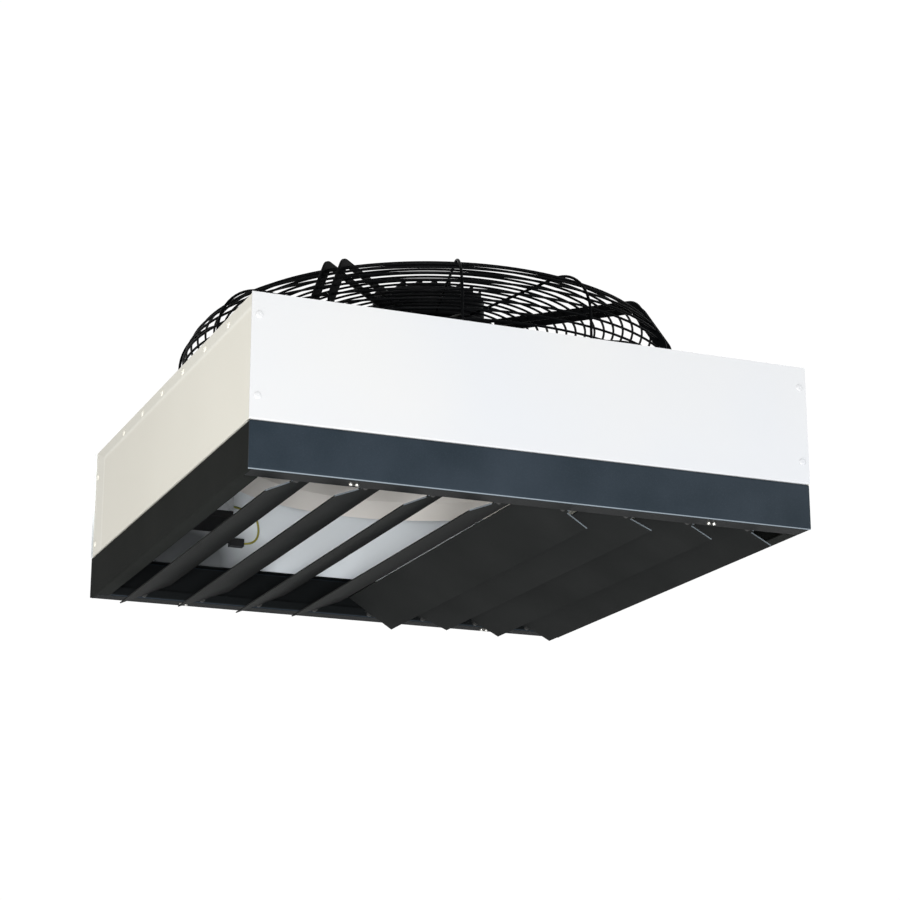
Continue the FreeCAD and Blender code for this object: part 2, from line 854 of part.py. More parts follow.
def skin_between(first, second):
    """Flat faces between two sections. Upper and lower skin are split along the same diagonals."""
    faces = []
    count = len(first)
    for index in range(count):
        after = (index + 1) % count
        corners = [first[index], first[after], second[after], second[index]]
        if index < count / 2:
            corners = corners[1:] + corners[:1]
        faces.append(flat_face(corners[:3]))
        faces.append(flat_face([corners[0], corners[2], corners[3]]))
    return faces


def flat_face(points):
    return Part.Face(Part.makePolygon(points + points[:1]))


def fan_blades():
    """Sickle shaped blades: flat faces over sections, cut to the hub and to the tip circle."""
    end = 1 + blade_run_out / (fan_radius - blade_root_radius)
    last = blade_stations - 1
    sections = [blade_section(end * number / last) for number in range(blade_stations)]
    faces = [flat_face(sections[0][::-1]), flat_face(sections[-1])]
    for first, second in zip(sections, sections[1:]):
        faces += skin_between(first, second)
    blade = Part.makeSolid(Part.makeShell(faces))
    hub = motor_prism(hub_radius, -fan_radius, fan_radius)
    reach = prism(fan_radius, nozzle_flats, -fan_radius - past, fan_radius + past)
    beyond = prism(2 * fan_radius, nozzle_flats, -fan_radius, fan_radius).cut(reach)
    blade = blade.cut([hub, beyond]).Solids[0]
    return [turned(blade, 360.0 * number / blade_count) for number in range(blade_count)]


def terminal_box():
    top = top_z - box_drop
    low = top - box_depth
    outer = box(box_x[0], box_x[1], box_y[0], box_y[1], low, top)
    w = box_wall
    inner = box(box_x[0] + w, box_x[1] - w, box_y[0] + w, box_y[1] - w, low - past, top - w)
    gland = along_arm(lead_angle, plate_gland_place, 0, 0)
    hole = disc(plate_gland_thread, top - 2 * w, top + past, gland.x, gland.y)
    return outer.cut([inner, hole])


def terminal_lid():
    top = top_z - box_drop - box_depth
    return box(box_x[0], box_x[1], box_y[0], box_y[1], top - lid_height, top)


def plate_gland():
    """The gland that takes the motor's lead through the top plate into the junction box."""
    place = along_arm(lead_angle, plate_gland_place, 0, 0)
    seat = Vector(place.x, place.y, top_z)
    head = many_sided_head(seat, Vector(0, 0, 1), plate_gland_radius, plate_gland_height, gland_flats)
    low = top_z - box_drop - 2 * box_wall
    thread = disc(plate_gland_thread - seat_gap, low, top_z, place.x, place.y)
    return fuse(head, thread)


def housing_gland():
    """The gland on the side of the electronics housing."""
    middle = guard_height + housing_gland_height
    start = Vector(housing_radius - housing_wall / 2, 0, middle)
    length = housing_gland_length + housing_wall / 2
    gland = many_sided_head(start, Vector(1, 0, 0), housing_gland_radius, length, gland_flats)
    housing = motor_prism(housing_radius, guard_height, guard_height + housing_height)
    return turned(gland, lead_angle).cut(housing)


def motor_lead():
    """The motor's lead: out of its gland, down between two support bars, over the shoulder."""
    start = housing_radius + housing_gland_length
    high = guard_height + housing_gland_height
    low = guard_height + bar_depth / 2
    end = plate_gland_place
    steps = [
        (start, high),
        (start + lead_exit_run, high),
        (start + lead_drop_run, low),
        (end, low),
        (end, plate_gland_height),
    ]
    points = [along_arm(lead_angle, distance, 0, height) for distance, height in steps]
    return lead(points, [lead_exit_bend, lead_drop_bend, guard_shoulder + bar_depth / 2], lead_radius)


def lead_clips():
    """Flat clips across both bars of the arm, over the lead."""
    low = guard_height + bar_depth
    half_span = bar_offset + bar_sheet / 2
    clips = []
    for place in clip_places:
        clip = box(place, place + clip_width, -half_span, half_span, low, low + clip_sheet)
        clips.append(turned(clip, lead_angle))
    return clips


def supply_gland():
    """The gland in the rear panel for the building's supply cable, open through its middle."""
    place = Vector(supply_gland_x, half_depth, top_z - supply_gland_drop)
    out = Vector(0, 1, 0)
    head = many_sided_head(place, out, supply_gland_radius, supply_gland_length, gland_flats)
    back = place - out * (2 * supply_gland_thread)
    thread = Part.makeCylinder(supply_gland_thread - seat_gap, 2 * supply_gland_thread, back, out)
    bore = Part.makeCylinder(supply_bore, 4 * supply_gland_length, back - out * past, out)
    return fuse(head, thread).cut(bore)


def inner_connector():
    back = panel_inner_y
    return box(connector_x[0], connector_x[1], back - connector_depth, back, connector_z[0], connector_z[1])


def connector_middle():
    back = panel_inner_y
    return back - connector_depth / 2, (connector_z[0] + connector_z[1]) / 2


def earth_lead():
    """The earth lead's loop: out of the junction box, over to the wall and down to the connector."""
    y, z = connector_middle()
    exit_z = top_z - box_drop - box_depth + earth_exit_rise
    loop_x = connector_x[1] + earth_loop_reach
    points = [
        Vector(box_x[1] + earth_radius / 2, earth_exit_y, exit_z),
        Vector(box_x[1] + earth_exit_run, earth_exit_y + earth_exit_side, exit_z),
        Vector(loop_x, y, exit_z),
        Vector(loop_x, y, z),
        Vector(connector_x[1], y, z),
    ]
    return lead(points, arc_radii(points), earth_radius)


def control_lead():
    """The black lead between the junction box and the connector."""
    y, z = connector_middle()
    exit_z = top_z - box_drop - box_depth + control_exit_rise
    first = Vector(box_x[1] + control_exit_run, control_exit_y, exit_z)
    last = Vector(connector_x[0] - control_end_run, y, z)
    points = [
        Vector(box_x[1], control_exit_y, exit_z),
        first,
        (first + last) * 0.5 + Vector(0, 0, control_hump),
        last,
        Vector(connector_x[0], y, z),
    ]
    return lead(points, arc_radii(points), control_radius)


def make_all():
    os.makedirs("parts", exist_ok=True)
    corners = [(x, y) for x in (-1, 1) for y in (-1, 1)]
    side = Vector(1, 0, 0)
    depth = Vector(0, 1, 0)
    front = end_panel()
    rear = mirrored(front, depth)
    gland_hole = Vector(supply_gland_x, half_depth - 2 * supply_gland_thread, top_z - supply_gland_drop)
    rear = drill(rear, gland_hole, depth, supply_gland_thread, 4 * supply_gland_thread)
    left = side_panel()
    save("front_panel", front)
    save("rear_panel", rear)
    save("left_side_panel", left)
    save("right_side_panel", mirrored(left, side))
    save("top_plate", top_plate())
    save("corner_angles", *[corner_angle(x, y) for x, y in corners])
    save("panel_rivets", *panel_rivets())
    save("side_rivets", *side_rivets())
    save("suspension_nuts", *[suspension_nut(x, y) for x, y in suspension_places()])
    save("inlet_nozzle", inlet_nozzle())
    rail = end_rail()
    save("plinth_front", rail)
    save("plinth_rear", mirrored(rail, depth))
    rail = side_rail()
    save("plinth_left", rail)
    save("plinth_right", mirrored(rail, side))
    save("plinth_brackets", *[plinth_bracket(x, y) for x, y in corners])
    save("rim_screws", *rim_screws())
    for number, (x, tilt) in enumerate(zip(louvre_places(), louvre_tilts), start=1):
        save("louvre_%d" % number, louvre_blade(x, tilt))
        save("louvre_%d_pins" % number, *louvre_pins(x, tilt))
    base = wire_ring(guard_radius, foot_sheet + base_bar, base_bar)
    save("guard_base_ring", base)
    save("guard_side_rings", *side_rings())
    save("guard_shoulder_rings", *shoulder_rings())
    save("guard_top_rings", *top_rings())
    save("guard_support_bars", *support_bars())
    save("guard_thin_wires", *thin_wires())
    save("guard_feet", *guard_feet())
    save("guard_screws", *foot_screws())
    save("motor_mount_ring", mount_ring())
    save("electronics_housing", electronics_housing())
    save("stator", stator())
    save("bearings", *bearings())
    save("rotor_can", rotor_can())
    save("rotor_shaft", rotor_shaft())
    save("impeller_hub", impeller_hub())
    save("fan_blades", *fan_blades())
    save("terminal_box", terminal_box())
    save("terminal_lid", terminal_lid())
    save("plate_gland", plate_gland())
    save("housing_gland", housing_gland())
    save("motor_lead", motor_lead())
    save("lead_clips", *lead_clips())
    save("supply_gland", supply_gland())
    save("inner_connector", inner_connector())
    save("earth_lead", earth_lead())
    save("control_lead", control_lead())


make_all()
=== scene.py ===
import math

import bmesh
import bpy
from mathutils import Matrix, Vector


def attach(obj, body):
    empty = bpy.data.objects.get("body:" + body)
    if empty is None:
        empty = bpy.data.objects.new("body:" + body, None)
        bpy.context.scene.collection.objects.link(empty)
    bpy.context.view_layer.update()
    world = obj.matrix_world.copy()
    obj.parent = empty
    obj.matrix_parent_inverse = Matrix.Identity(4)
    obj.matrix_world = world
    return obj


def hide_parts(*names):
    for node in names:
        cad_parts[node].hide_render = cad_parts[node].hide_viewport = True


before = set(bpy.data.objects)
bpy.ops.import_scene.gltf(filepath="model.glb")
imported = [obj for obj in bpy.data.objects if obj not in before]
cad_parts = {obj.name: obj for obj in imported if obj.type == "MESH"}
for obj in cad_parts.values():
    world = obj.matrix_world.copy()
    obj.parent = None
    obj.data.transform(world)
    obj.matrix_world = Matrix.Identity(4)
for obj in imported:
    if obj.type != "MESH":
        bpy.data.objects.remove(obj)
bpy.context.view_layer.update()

# Air recirculation unit, dressed for a studio picture. Metres; X along the front, Y to the back, Z up.
# The origin is the middle of the suspension points, on the upper face of the top plate.

mm = 0.001
casing = "casing"
rotor = "fan_rotor"

# Casing
casing_half = 350 * mm
side_rear = 348.8 * mm
margin_height = 18 * mm
margin_depth = 52 * mm
margin_lean = 2 * mm
suspension_half = 320 * mm

# Guard
guard_radius = 319 * mm
guard_height = 109 * mm
guard_shoulder = 64 * mm
ring_seat = 3.5 * mm
ring_wire = 3.0 * mm
ring_pitch = 12.2 * mm
base_bar = 6 * mm
foot_sheet = 3 * mm
strip_sheet = 3 * mm
strip_depth = 9 * mm
strip_top = 112.5 * mm
strip_offset = 11 * mm
strip_inner_end = 77 * mm
thin_wire = 3.4 * mm
thin_wire_end = 88 * mm
mount_ring_outer = 93 * mm
mount_ring_inner = 30 * mm
arm_angles = (45, 135, 225, 315)
lead_angle = 135
thin_wire_angles = (15, 75, 105, 165, 195, 255, 285, 345)
shoulder_centre = guard_radius - guard_shoulder
shoulder_z = guard_height - guard_shoulder

# Fan
fan_radius = 250 * mm
hub_radius = 79 * mm
blade_root_radius = 66 * mm
blade_mid_height = 8 * mm
blade_count = 5
root_chord, tip_chord = 96 * mm, 178 * mm
root_pitch, tip_pitch = 50, 28
root_camber, tip_camber = 0.09, 0.05
root_thickness, tip_thickness = 6 * mm, 3 * mm
blade_sweep, sweep_growth = 27, 1.6

# Motor
motor_radius = 73 * mm
motor_height = 50 * mm
fin_count = 9
fin_width = 3.5 * mm
fin_height = 7 * mm
rotor_outer = 67 * mm
rotor_bore = 58.5 * mm
rotor_bottom = -30 * mm
rotor_top = 90 * mm
hub_top = 50 * mm
hub_floor = 6 * mm

# Nozzle
top_sheet = 1.5 * mm
sheet_gap = 0.2 * mm
nozzle_sheet = 1.5 * mm
nozzle_throat_radius = 254 * mm
nozzle_bell = 36 * mm
nozzle_throat = 14 * mm
nozzle_outlet_radius = 279 * mm
nozzle_depth = 71 * mm
nozzle_flange = 24 * mm

# Louvres, with their tilts at rest in degrees
louvre_tilts = (65.9, 69.4, 66.3, 69.0, -57.6, -67.4, -62.5, -62.5)
louvre_pitch = 80.8 * mm
louvre_pivot = -198 * mm

# How near to the axis the motor's turned profiles end
near_axis = 0.1 * mm

# The photograph's view
camera_place = (-1.0374, -2.5562, -0.8515)
camera_ahead = (0.3702, 0.8859, 0.2795)
camera_right = (0.9227, -0.3856, 0)
camera_lens = 89.4


class Shade:
    """One output of a material's nodes, with arithmetic on it."""

    def __init__(self, finish, socket):
        self.finish = finish
        self.socket = socket

    def sum_of(self, operation, first, second):
        return self.finish.node("Math", {"operation": operation}, {0: first, 1: second})

    def __add__(self, other):
        return self.sum_of("ADD", self, other)

    def __radd__(self, other):
        return self.sum_of("ADD", other, self)

    def __sub__(self, other):
        return self.sum_of("SUBTRACT", self, other)

    def __rsub__(self, other):
        return self.sum_of("SUBTRACT", other, self)

    def __mul__(self, other):
        return self.sum_of("MULTIPLY", self, other)

    def __rmul__(self, other):
        return self.sum_of("MULTIPLY", other, self)

    def __gt__(self, other):
        return self.sum_of("GREATER_THAN", self, other)


class Finish:
    """A surface finish under construction."""

    def __init__(self, name, **fixed):
        self.material = bpy.data.materials.new(name)
        self.material.use_nodes = True
        self.nodes = self.material.node_tree.nodes
        self.links = self.material.node_tree.links
        self.shader = self.nodes["Principled BSDF"]
        for socket, value in fixed.items():
            self.shader.inputs[socket.replace("_", " ")].default_value = value

    def node(self, kind, settings=None, values=None, output=0):
        made = self.nodes.new("ShaderNode" + kind)
        for name, value in (settings or {}).items():
            if name == "stops":
                set_stops(made.color_ramp, value)
            else:
                setattr(made, name, value)
        for name, value in (values or {}).items():
            self.feed(made.inputs[name], value)
        return Shade(self, made.outputs[output])

    def feed(self, socket, value):
        if isinstance(value, Shade):
            self.links.new(value.socket, socket)
        else:
            socket.default_value = value

    def give(self, **sockets):
        for name, value in sockets.items():
            self.feed(self.shader.inputs[name.replace("_", " ")], value)
        return self.material


def set_stops(ramp, stops):
    while len(ramp.elements) < len(stops):
        ramp.elements.new(0.5)
    for element, (place, level) in zip(ramp.elements, stops):
        element.position = place
        element.color = (level, level, level, 1)


def place_of(finish):
    return finish.node("TexCoord", output="Object")


def side_of(finish, axis):
    """How far the surface faces along an axis of the unit, from -1 to 1."""
    return finish.node("SeparateXYZ", {}, {0: finish.node("TexCoord", output="Normal")}, axis)


def away(finish, value):
    return finish.node("Math", {"operation": "ABSOLUTE"}, {0: value})


def greater_of(finish, first, second):
    return finish.node("Math", {"operation": "MAXIMUM"}, {0: first, 1: second})


def noise(finish, size, detail=3.0, rough=0.5, stretch=None):
    """Noise whose grains are about the given size, in metres."""
    spot = place_of(finish)
    if stretch:
        spot = finish.node("VectorMath", {"operation": "MULTIPLY"}, {0: spot, 1: stretch})
    values = {"Vector": spot, "Scale": 1 / size, "Detail": detail, "Roughness": rough}
    return finish.node("TexNoise", {}, values)


def cells(finish, size):
    """Cells of about the given size, each in a colour of its own."""
    return finish.node("TexVoronoi", {}, {"Vector": place_of(finish), "Scale": 1 / size}, "Color")


def ramp(finish, value, *stops):
    return finish.node("ValToRGB", {"stops": stops}, {"Fac": value})


def blend(finish, share, first, second):
    """A colour between two colours."""
    return finish.node("Mix", {"data_type": "RGBA"}, {0: share, 6: first, 7: second}, 2)


def bump(finish, height, depth, strength):
    return finish.node("Bump", {}, {"Height": height, "Distance": depth, "Strength": strength})


def tone(red, green, blue):
    return (red, green, blue, 1)


# Colours on the coats: painted highlights, painted shadow and painted shade, dust, and a grey for thin coat
# and painted highlights on bends
painted_crease_highlight = tone(0.96, 0.95, 0.88)
painted_shadow_black = tone(0.012, 0.014, 0.015)
dust_grey = tone(0.5, 0.49, 0.46)
painted_shade_black = tone(0.0060, 0.0070, 0.0075)
thin_coat_and_highlight_grey = tone(0.42, 0.48, 0.53)


def smooth_coat(name, light, shaded, roughness=0.38, creases=None, dimmed=None):
    """Satin powder coat: nearly flat, with a fine orange peel and a slow drift of tone.

    creases(finish) gives where the creases get a painted highlight, and dimmed(finish) where a painted shadow
    darkens the coat.
    """
    finish = Finish(name, Specular_IOR_Level=0.35)
    drift = ramp(finish, noise(finish, 0.35, 2), (0.35, 0), (0.7, 1))
    peel = noise(finish, 1.6 * mm, 2)
    dust = ramp(finish, noise(finish, 0.5 * mm, 1), (0.62, 0), (0.75, 1))
    colour = blend(finish, drift, light, shaded)
    # Painted highlight along the creases, and paler margins beyond them
    if creases:
        colour = blend(finish, creases(finish), colour, painted_crease_highlight)
    # A painted shadow darkens part of the coat
    if dimmed:
        colour = blend(finish, dimmed(finish), colour, painted_shadow_black)
    colour = blend(finish, dust * 0.05, colour, dust_grey)
    return finish.give(
        Base_Color=colour,
        Roughness=roughness + 0.08 * noise(finish, 9 * mm, 3),
        Normal=bump(finish, peel, 0.05 * mm, 0.35),
    )


def painted_margin_light(finish):
    """A painted highlight along the side panels' two creases, and painted light that makes their leaning
    margins paler.
    """
    crease_z, crease_y, width = -margin_height, side_rear - margin_depth, 5 * mm
    line_share, margin_share = 0.6, 0.16
    spot = place_of(finish)
    height = finish.node("SeparateXYZ", {}, {0: spot}, "Z")
    depth = finish.node("SeparateXYZ", {}, {0: spot}, "Y")
    near_top = ramp(finish, away(finish, height - crease_z) * (1 / width), (0, 1), (1, 0))
    near_rear = ramp(finish, away(finish, depth - crease_y) * (1 / width), (0, 1), (1, 0))
    lines = greater_of(finish, near_top * (crease_y - depth > 0), near_rear * (crease_z - height > 0))
    beyond = greater_of(finish, height > crease_z, depth > crease_y)
    return greater_of(finish, lines * line_share, beyond * margin_share)


def painted_corner_shadow(finish):
    """A painted shadow on the lower left corner of the rear panel's inner side, behind the terminals."""
    corner, fall_per_metre = (-0.24, 0, -0.135), (5.5, 0, 10)
    offset = finish.node("VectorMath", {"operation": "SUBTRACT"}, {0: place_of(finish), 1: corner})
    scaled = finish.node("VectorMath", {"operation": "MULTIPLY"}, {0: offset, 1: fall_per_metre})
    distance = finish.node("VectorMath", {"operation": "LENGTH"}, {0: scaled}, "Value")
    return ramp(finish, distance, (0.4, 0.88), (0.85, 0)) * (0 - side_of(finish, "Y") > 0.5)


def textured_coat(name, base, speck, roughness, speck_share, gloss, wear_and_highlight=None, painted_shade=None):
    """Fine textured powder coat: small pits and lighter specks.

    One mask lightens the coat where it is thin on cut ends and as a painted highlight along bends; the other
    darkens it with painted shade.
    """
    grain = 0.9 * mm
    finish = Finish(name, Specular_IOR_Level=gloss)
    pits = noise(finish, grain, 4, 0.65)
    specks = ramp(finish, noise(finish, grain * 0.8, 2, 0.7), (0.56, 0), (0.66, 1))
    drift = ramp(finish, noise(finish, 0.12, 3), (0.3, 0), (0.75, 1))
    colour = blend(finish, drift * 0.3, base, speck)
    colour = blend(finish, specks * speck_share, colour, speck)
    # Painted shade on the faces that look down or into the unit
    if painted_shade:
        colour = blend(finish, painted_shade(finish), colour, painted_shade_black)
    # Lighter where the coat is thin, and painted highlights along bends
    if wear_and_highlight:
        colour = blend(finish, wear_and_highlight(finish), colour, thin_coat_and_highlight_grey)
    return finish.give(
        Base_Color=colour,
        Roughness=roughness + 0.2 * pits,
        Normal=bump(finish, pits, 0.2 * mm, 0.5),
    )


def lower_bend(side):
    """The bend under a plinth wall that faces the front (side -1) or the back (side 1), drawn lighter: a
    painted highlight over the bend's thinner coat.
    """
    # Lighter along the bend: a painted highlight over the thinner coat there
    def thin(finish):
        both = 2 * side * side_of(finish, "Y") * (0 - side_of(finish, "Z"))
        return ramp(finish, both, (0.8, 0), (1, 1)) * 0.5
    return thin


def beneath(finish):
    """The faces that look down, which get painted shade."""
    return ramp(finish, 0 - side_of(finish, "Z"), (0.8, 0), (0.95, 1))


def beneath_and_within(finish):
    """The rear plinth wall's faces that look down or into the unit, which get painted shade."""
    within = ramp(finish, 0 - side_of(finish, "Y"), (0.6, 0), (0.9, 1))
    return greater_of(finish, beneath(finish), within)


def cut_ends(finish):
    """The sheared ends of a blade, where the coat is thinnest."""
    return ramp(finish, away(finish, side_of(finish, "Y")), (0.90, 0), (0.97, 1)) * 0.32


def galvanised(name):
    """Zinc coated sheet with its spangle."""
    finish = Finish(name)
    level = finish.node("RGBToBW", {}, {0: cells(finish, 9 * mm)})
    scuffs = noise(finish, 30 * mm, 5, 0.6, (1, 0.2, 1))
    colour = blend(finish, level, tone(0.50, 0.53, 0.56), tone(0.72, 0.75, 0.77))
    return finish.give(
        Base_Color=colour,
        Metallic=0.75,
        Roughness=0.30 + 0.16 * level + 0.14 * scuffs,
        Normal=bump(finish, scuffs, 0.05 * mm, 0.4),
    )


def plated(name, light, dark):
    """Bright plated steel of screws and shafts."""
    finish = Finish(name, Metallic=1.0)
    stain = ramp(finish, noise(finish, 3 * mm, 4), (0.35, 0), (0.7, 1))
    return finish.give(
        Base_Color=blend(finish, stain, light, dark),
        Roughness=0.22 + 0.2 * noise(finish, 1.2 * mm, 3),
        Normal=bump(finish, noise(finish, 0.4 * mm, 2), 0.02 * mm, 0.4),
    )


def wire_coat(name):
    """Satin black coat on steel wire, thinner on its high spots."""
    finish = Finish(name, Specular_IOR_Level=0.05)
    wear = ramp(finish, noise(finish, 22 * mm, 5, 0.6), (0.55, 0), (0.8, 1))
    return finish.give(
        Base_Color=blend(finish, wear, tone(0.0016, 0.0018, 0.0021), tone(0.005, 0.0055, 0.006)),
        Roughness=0.34 + 0.2 * noise(finish, 4 * mm, 3),
        Normal=bump(finish, noise(finish, 1.5 * mm, 3), 0.06 * mm, 0.5),
    )


def cast_black(name, ground, bloom, grain, gloss):
    """Black coat over cast metal."""
    finish = Finish(name, Specular_IOR_Level=gloss)
    skin = noise(finish, grain, 4, 0.6)
    patch = ramp(finish, noise(finish, 40 * mm, 4), (0.35, 0), (0.75, 1))
    return finish.give(
        Base_Color=blend(finish, patch, ground, bloom),
        Roughness=0.42 + 0.25 * skin,
        Normal=bump(finish, skin, 0.2 * mm, 0.6),
    )


def moulded(name, ground, bloom, roughness=0.45):
    """Moulded plastic with a fine sparked skin."""
    finish = Finish(name, Specular_IOR_Level=0.3)
    skin = noise(finish, 0.6 * mm, 3, 0.6)
    patch = noise(finish, 15 * mm, 3)
    return finish.give(
        Base_Color=blend(finish, patch, ground, bloom),
        Roughness=roughness + 0.15 * skin,
        Normal=bump(finish, skin, 0.05 * mm, 0.5),
    )


def striped_sheath(name):
    """Insulation in two colours: bands that run along the lead, kept in the mesh as one value."""
    finish = Finish(name, Roughness=0.42)
    band = finish.node("Attribute", {"attribute_name": "band"}, {}, "Fac") > 0.5
    soil = noise(finish, 6 * mm, 3)
    yellow = blend(finish, soil, tone(0.34, 0.31, 0.05), tone(0.28, 0.26, 0.05))
    green = blend(finish, soil, tone(0.04, 0.13, 0.04), tone(0.06, 0.17, 0.06))
    return finish.give(Base_Color=blend(finish, band, yellow, green))


def studio_paper(name):
    finish = Finish(name, Roughness=0.9)
    mottle = noise(finish, 0.8, 3)
    return finish.give(Base_Color=blend(finish, mottle, tone(0.86, 0.86, 0.86), tone(0.90, 0.90, 0.90)))


# One white powder coat, set darker, lighter and tinted for how the light falls on each face: darker on the
# brightly lit front, bluish on the rear panel, cream on the sides and the nozzle. These are painted light and
# shade.
front_coat = smooth_coat("front_coat", tone(0.612, 0.618, 0.632), tone(0.642, 0.635, 0.622))
side_coat = smooth_coat("side_coat", tone(0.80, 0.78, 0.70), tone(0.76, 0.74, 0.66), creases=painted_margin_light)
rear_coat = smooth_coat("rear_coat", tone(0.85, 0.89, 0.92), tone(0.83, 0.87, 0.90), dimmed=painted_corner_shadow)
inner_coat = smooth_coat("inner_coat", tone(0.90, 0.86, 0.81), tone(0.87, 0.83, 0.78), roughness=0.5)
# One blue-grey anthracite coat on the plinth: its blue on the front and rear walls is partly the paint's own
# and partly a painted reflection of the sky.
plinth_base, plinth_speck = tone(0.0112, 0.0190, 0.0262), tone(0.064, 0.080, 0.104)
plinth_front_coat = textured_coat(
    "plinth_front_coat", plinth_base, plinth_speck,
    roughness=0.40, speck_share=0.24, gloss=0.14, wear_and_highlight=lower_bend(-1), painted_shade=beneath,
)
plinth_rear_coat = textured_coat(
    "plinth_rear_coat", plinth_base, plinth_speck,
    roughness=0.42, speck_share=0.24, gloss=0.06, wear_and_highlight=lower_bend(1), painted_shade=beneath_and_within,
)
# The side rails carry the same anthracite, drawn darker and neutral as painted shade.
rail_coat = textured_coat(
    "rail_coat", tone(0.0085, 0.0095, 0.0084), tone(0.025, 0.027, 0.026),
    roughness=0.55, speck_share=0.2, gloss=0.04,
)
louvre_coat = textured_coat(
    "louvre_coat", tone(0.0080, 0.0088, 0.0086), tone(0.024, 0.025, 0.025),
    roughness=0.55, speck_share=0.22, gloss=0.07, wear_and_highlight=cut_ends,
)
zinc_sheet = galvanised("zinc_sheet")
zinc_screw = plated("zinc_screw", tone(0.78, 0.77, 0.74), tone(0.55, 0.54, 0.50))
guard_coat = wire_coat("guard_coat")
motor_coat = cast_black(
    "motor_coat", tone(0.0014, 0.0016, 0.0019), tone(0.0035, 0.004, 0.0045), grain=1.4 * mm, gloss=0.04,
)
blade_coat = cast_black(
    "blade_coat", tone(0.0075, 0.008, 0.0065), tone(0.018, 0.019, 0.013), grain=0.9 * mm, gloss=0.2,
)
black_moulding = moulded("black_moulding", tone(0.008, 0.008, 0.0085), tone(0.016, 0.016, 0.017))
dark_nylon = moulded("dark_nylon", tone(0.020, 0.020, 0.020), tone(0.040, 0.040, 0.039))
cable_sheath = moulded("cable_sheath", tone(0.006, 0.006, 0.0065), tone(0.012, 0.012, 0.013), roughness=0.5)
earth_sheath = striped_sheath("earth_sheath")
paper = studio_paper("paper")


def mesh_of(name, points, faces):
    mesh = bpy.data.meshes.new(name)
    mesh.from_pydata([tuple(point) for point in points], [], faces)
    mesh.update()
    return mesh


def add_piece(name, shape, finish, body, node, sharp=None):
    """A smooth piece that replaces a node. Edges that bend more than sharp, in degrees, stay crisp."""
    mesh = mesh_of(name, *shape)
    piece = bpy.data.objects.new(name, mesh)
    bpy.context.scene.collection.objects.link(piece)
    mesh.materials.append(finish)
    mesh.polygons.foreach_set("use_smooth", [True] * len(mesh.polygons))
    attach(piece, body)
    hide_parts(node)
    if sharp:
        split_sharp(piece, sharp)
    return piece


def split_sharp(piece, degrees):
    """Marks the edges that bend more than the angle as sharp."""
    work = bmesh.new()
    work.from_mesh(piece.data)
    bmesh.ops.remove_doubles(work, verts=work.verts, dist=1e-6)
    bmesh.ops.recalc_face_normals(work, faces=work.faces)
    for edge in work.edges:
        if len(edge.link_faces) == 2:
            edge.smooth = edge.calc_face_angle() < math.radians(degrees)
    work.to_mesh(piece.data)
    work.free()


def break_edges(piece, width, degrees=40):
    """Rounds a piece's sharp edges a little."""
    split_sharp(piece, degrees)
    edge = piece.modifiers.new("broken_edges", "BEVEL")
    edge.width = width
    edge.segments = 2
    edge.limit_method = "ANGLE"
    edge.angle_limit = math.radians(degrees)


def joined(parts):
    """The points and faces of several shapes as one."""
    points = []
    faces = []
    for some_points, some_faces in parts:
        shift = len(points)
        points += some_points
        faces += [tuple(index + shift for index in face) for face in some_faces]
    return points, faces


def moved(shape, matrix):
    points, faces = shape
    return [matrix @ Vector(point) for point in points], faces


def about_z(degrees):
    return Matrix.Rotation(math.radians(degrees), 4, "Z")


def facing(place, outward):
    """Turns a shape that was made along Z to point outward at a place."""
    return Matrix.Translation(place) @ Vector(outward).to_track_quat("Z", "Y").to_matrix().to_4x4()


def bands(count, around, closed=False):
    """The faces between each of count loops of points and the next. Closed, the last one meets the first."""
    faces = []
    for index in range(count if closed else count - 1):
        low = index * around
        high = (index + 1) % count * around
        for step in range(around):
            after = (step + 1) % around
            faces.append((low + step, low + after, high + after, high + step))
    return faces


def caps(count, around):
    """The faces that close the first and the last of count loops of points."""
    return [tuple(range(around))[::-1], tuple(range((count - 1) * around, count * around))]


def lathe(profile, around, widths=None):
    """A skin turned about Z from (radius, height) pairs. widths(angle, index) scales a radius."""
    points = []
    for index, (radius, height) in enumerate(profile):
        for step in range(around):
            angle = 2 * math.pi * step / around
            reach = radius * (widths(angle, index) if widths else 1)
            points.append(Vector((reach * math.cos(angle), reach * math.sin(angle), height)))
    return points, bands(len(profile), around)


def turned(profile, around, widths=None):
    """A shape turned from a profile that closes on itself."""
    return lathe(profile + profile[:1], around, widths)


def turned_head(profile, around, widths=None):
    """A fastener's head turned from an open profile, closed at its foot and in its middle."""
    points, faces = lathe(profile, around, widths)
    return points, faces + caps(len(profile), around)


def scaled_profile(radius, height, *shares):
    """A profile whose pairs are given as shares of a radius and a height."""
    return [(radius * across, height * up) for across, up in shares]


def prism(start, end):
    """A solid between two outlines of as many points."""
    return start + end, caps(2, len(start)) + bands(2, len(start))


def plate_of(outline, thickness):
    """A flat plate in the XZ plane from its outline, centred on Y."""
    half = thickness / 2
    count = len(outline)
    points = [Vector((point[0], side * half, point[1])) for side in (-1, 1) for point in outline]
    faces = [tuple(range(count)), tuple(range(count, 2 * count))[::-1]]
    for index in range(count):
        after = (index + 1) % count
        faces.append((index, index + count, after + count, after))
    return points, faces


def tube(path, radius, sides, closed=False):
    """A round bar along a path of points."""
    count = len(path)
    ways = []
    for index in range(count):
        before = path[index - 1] if closed or index else path[0]
        after = path[(index + 1) % count] if closed or index < count - 1 else path[-1]
        ways.append((after - before).normalized())
    across = ways[0].orthogonal().normalized()
    points = []
    for way, middle in zip(ways, path):
        across = (across - way * across.dot(way)).normalized()
        beside = way.cross(across)
        for step in range(sides):
            angle = 2 * math.pi * step / sides
            points.append(middle + across * (radius * math.cos(angle)) + beside * (radius * math.sin(angle)))
    faces = bands(count, sides, closed)
    return points, faces if closed else faces + caps(count, sides)


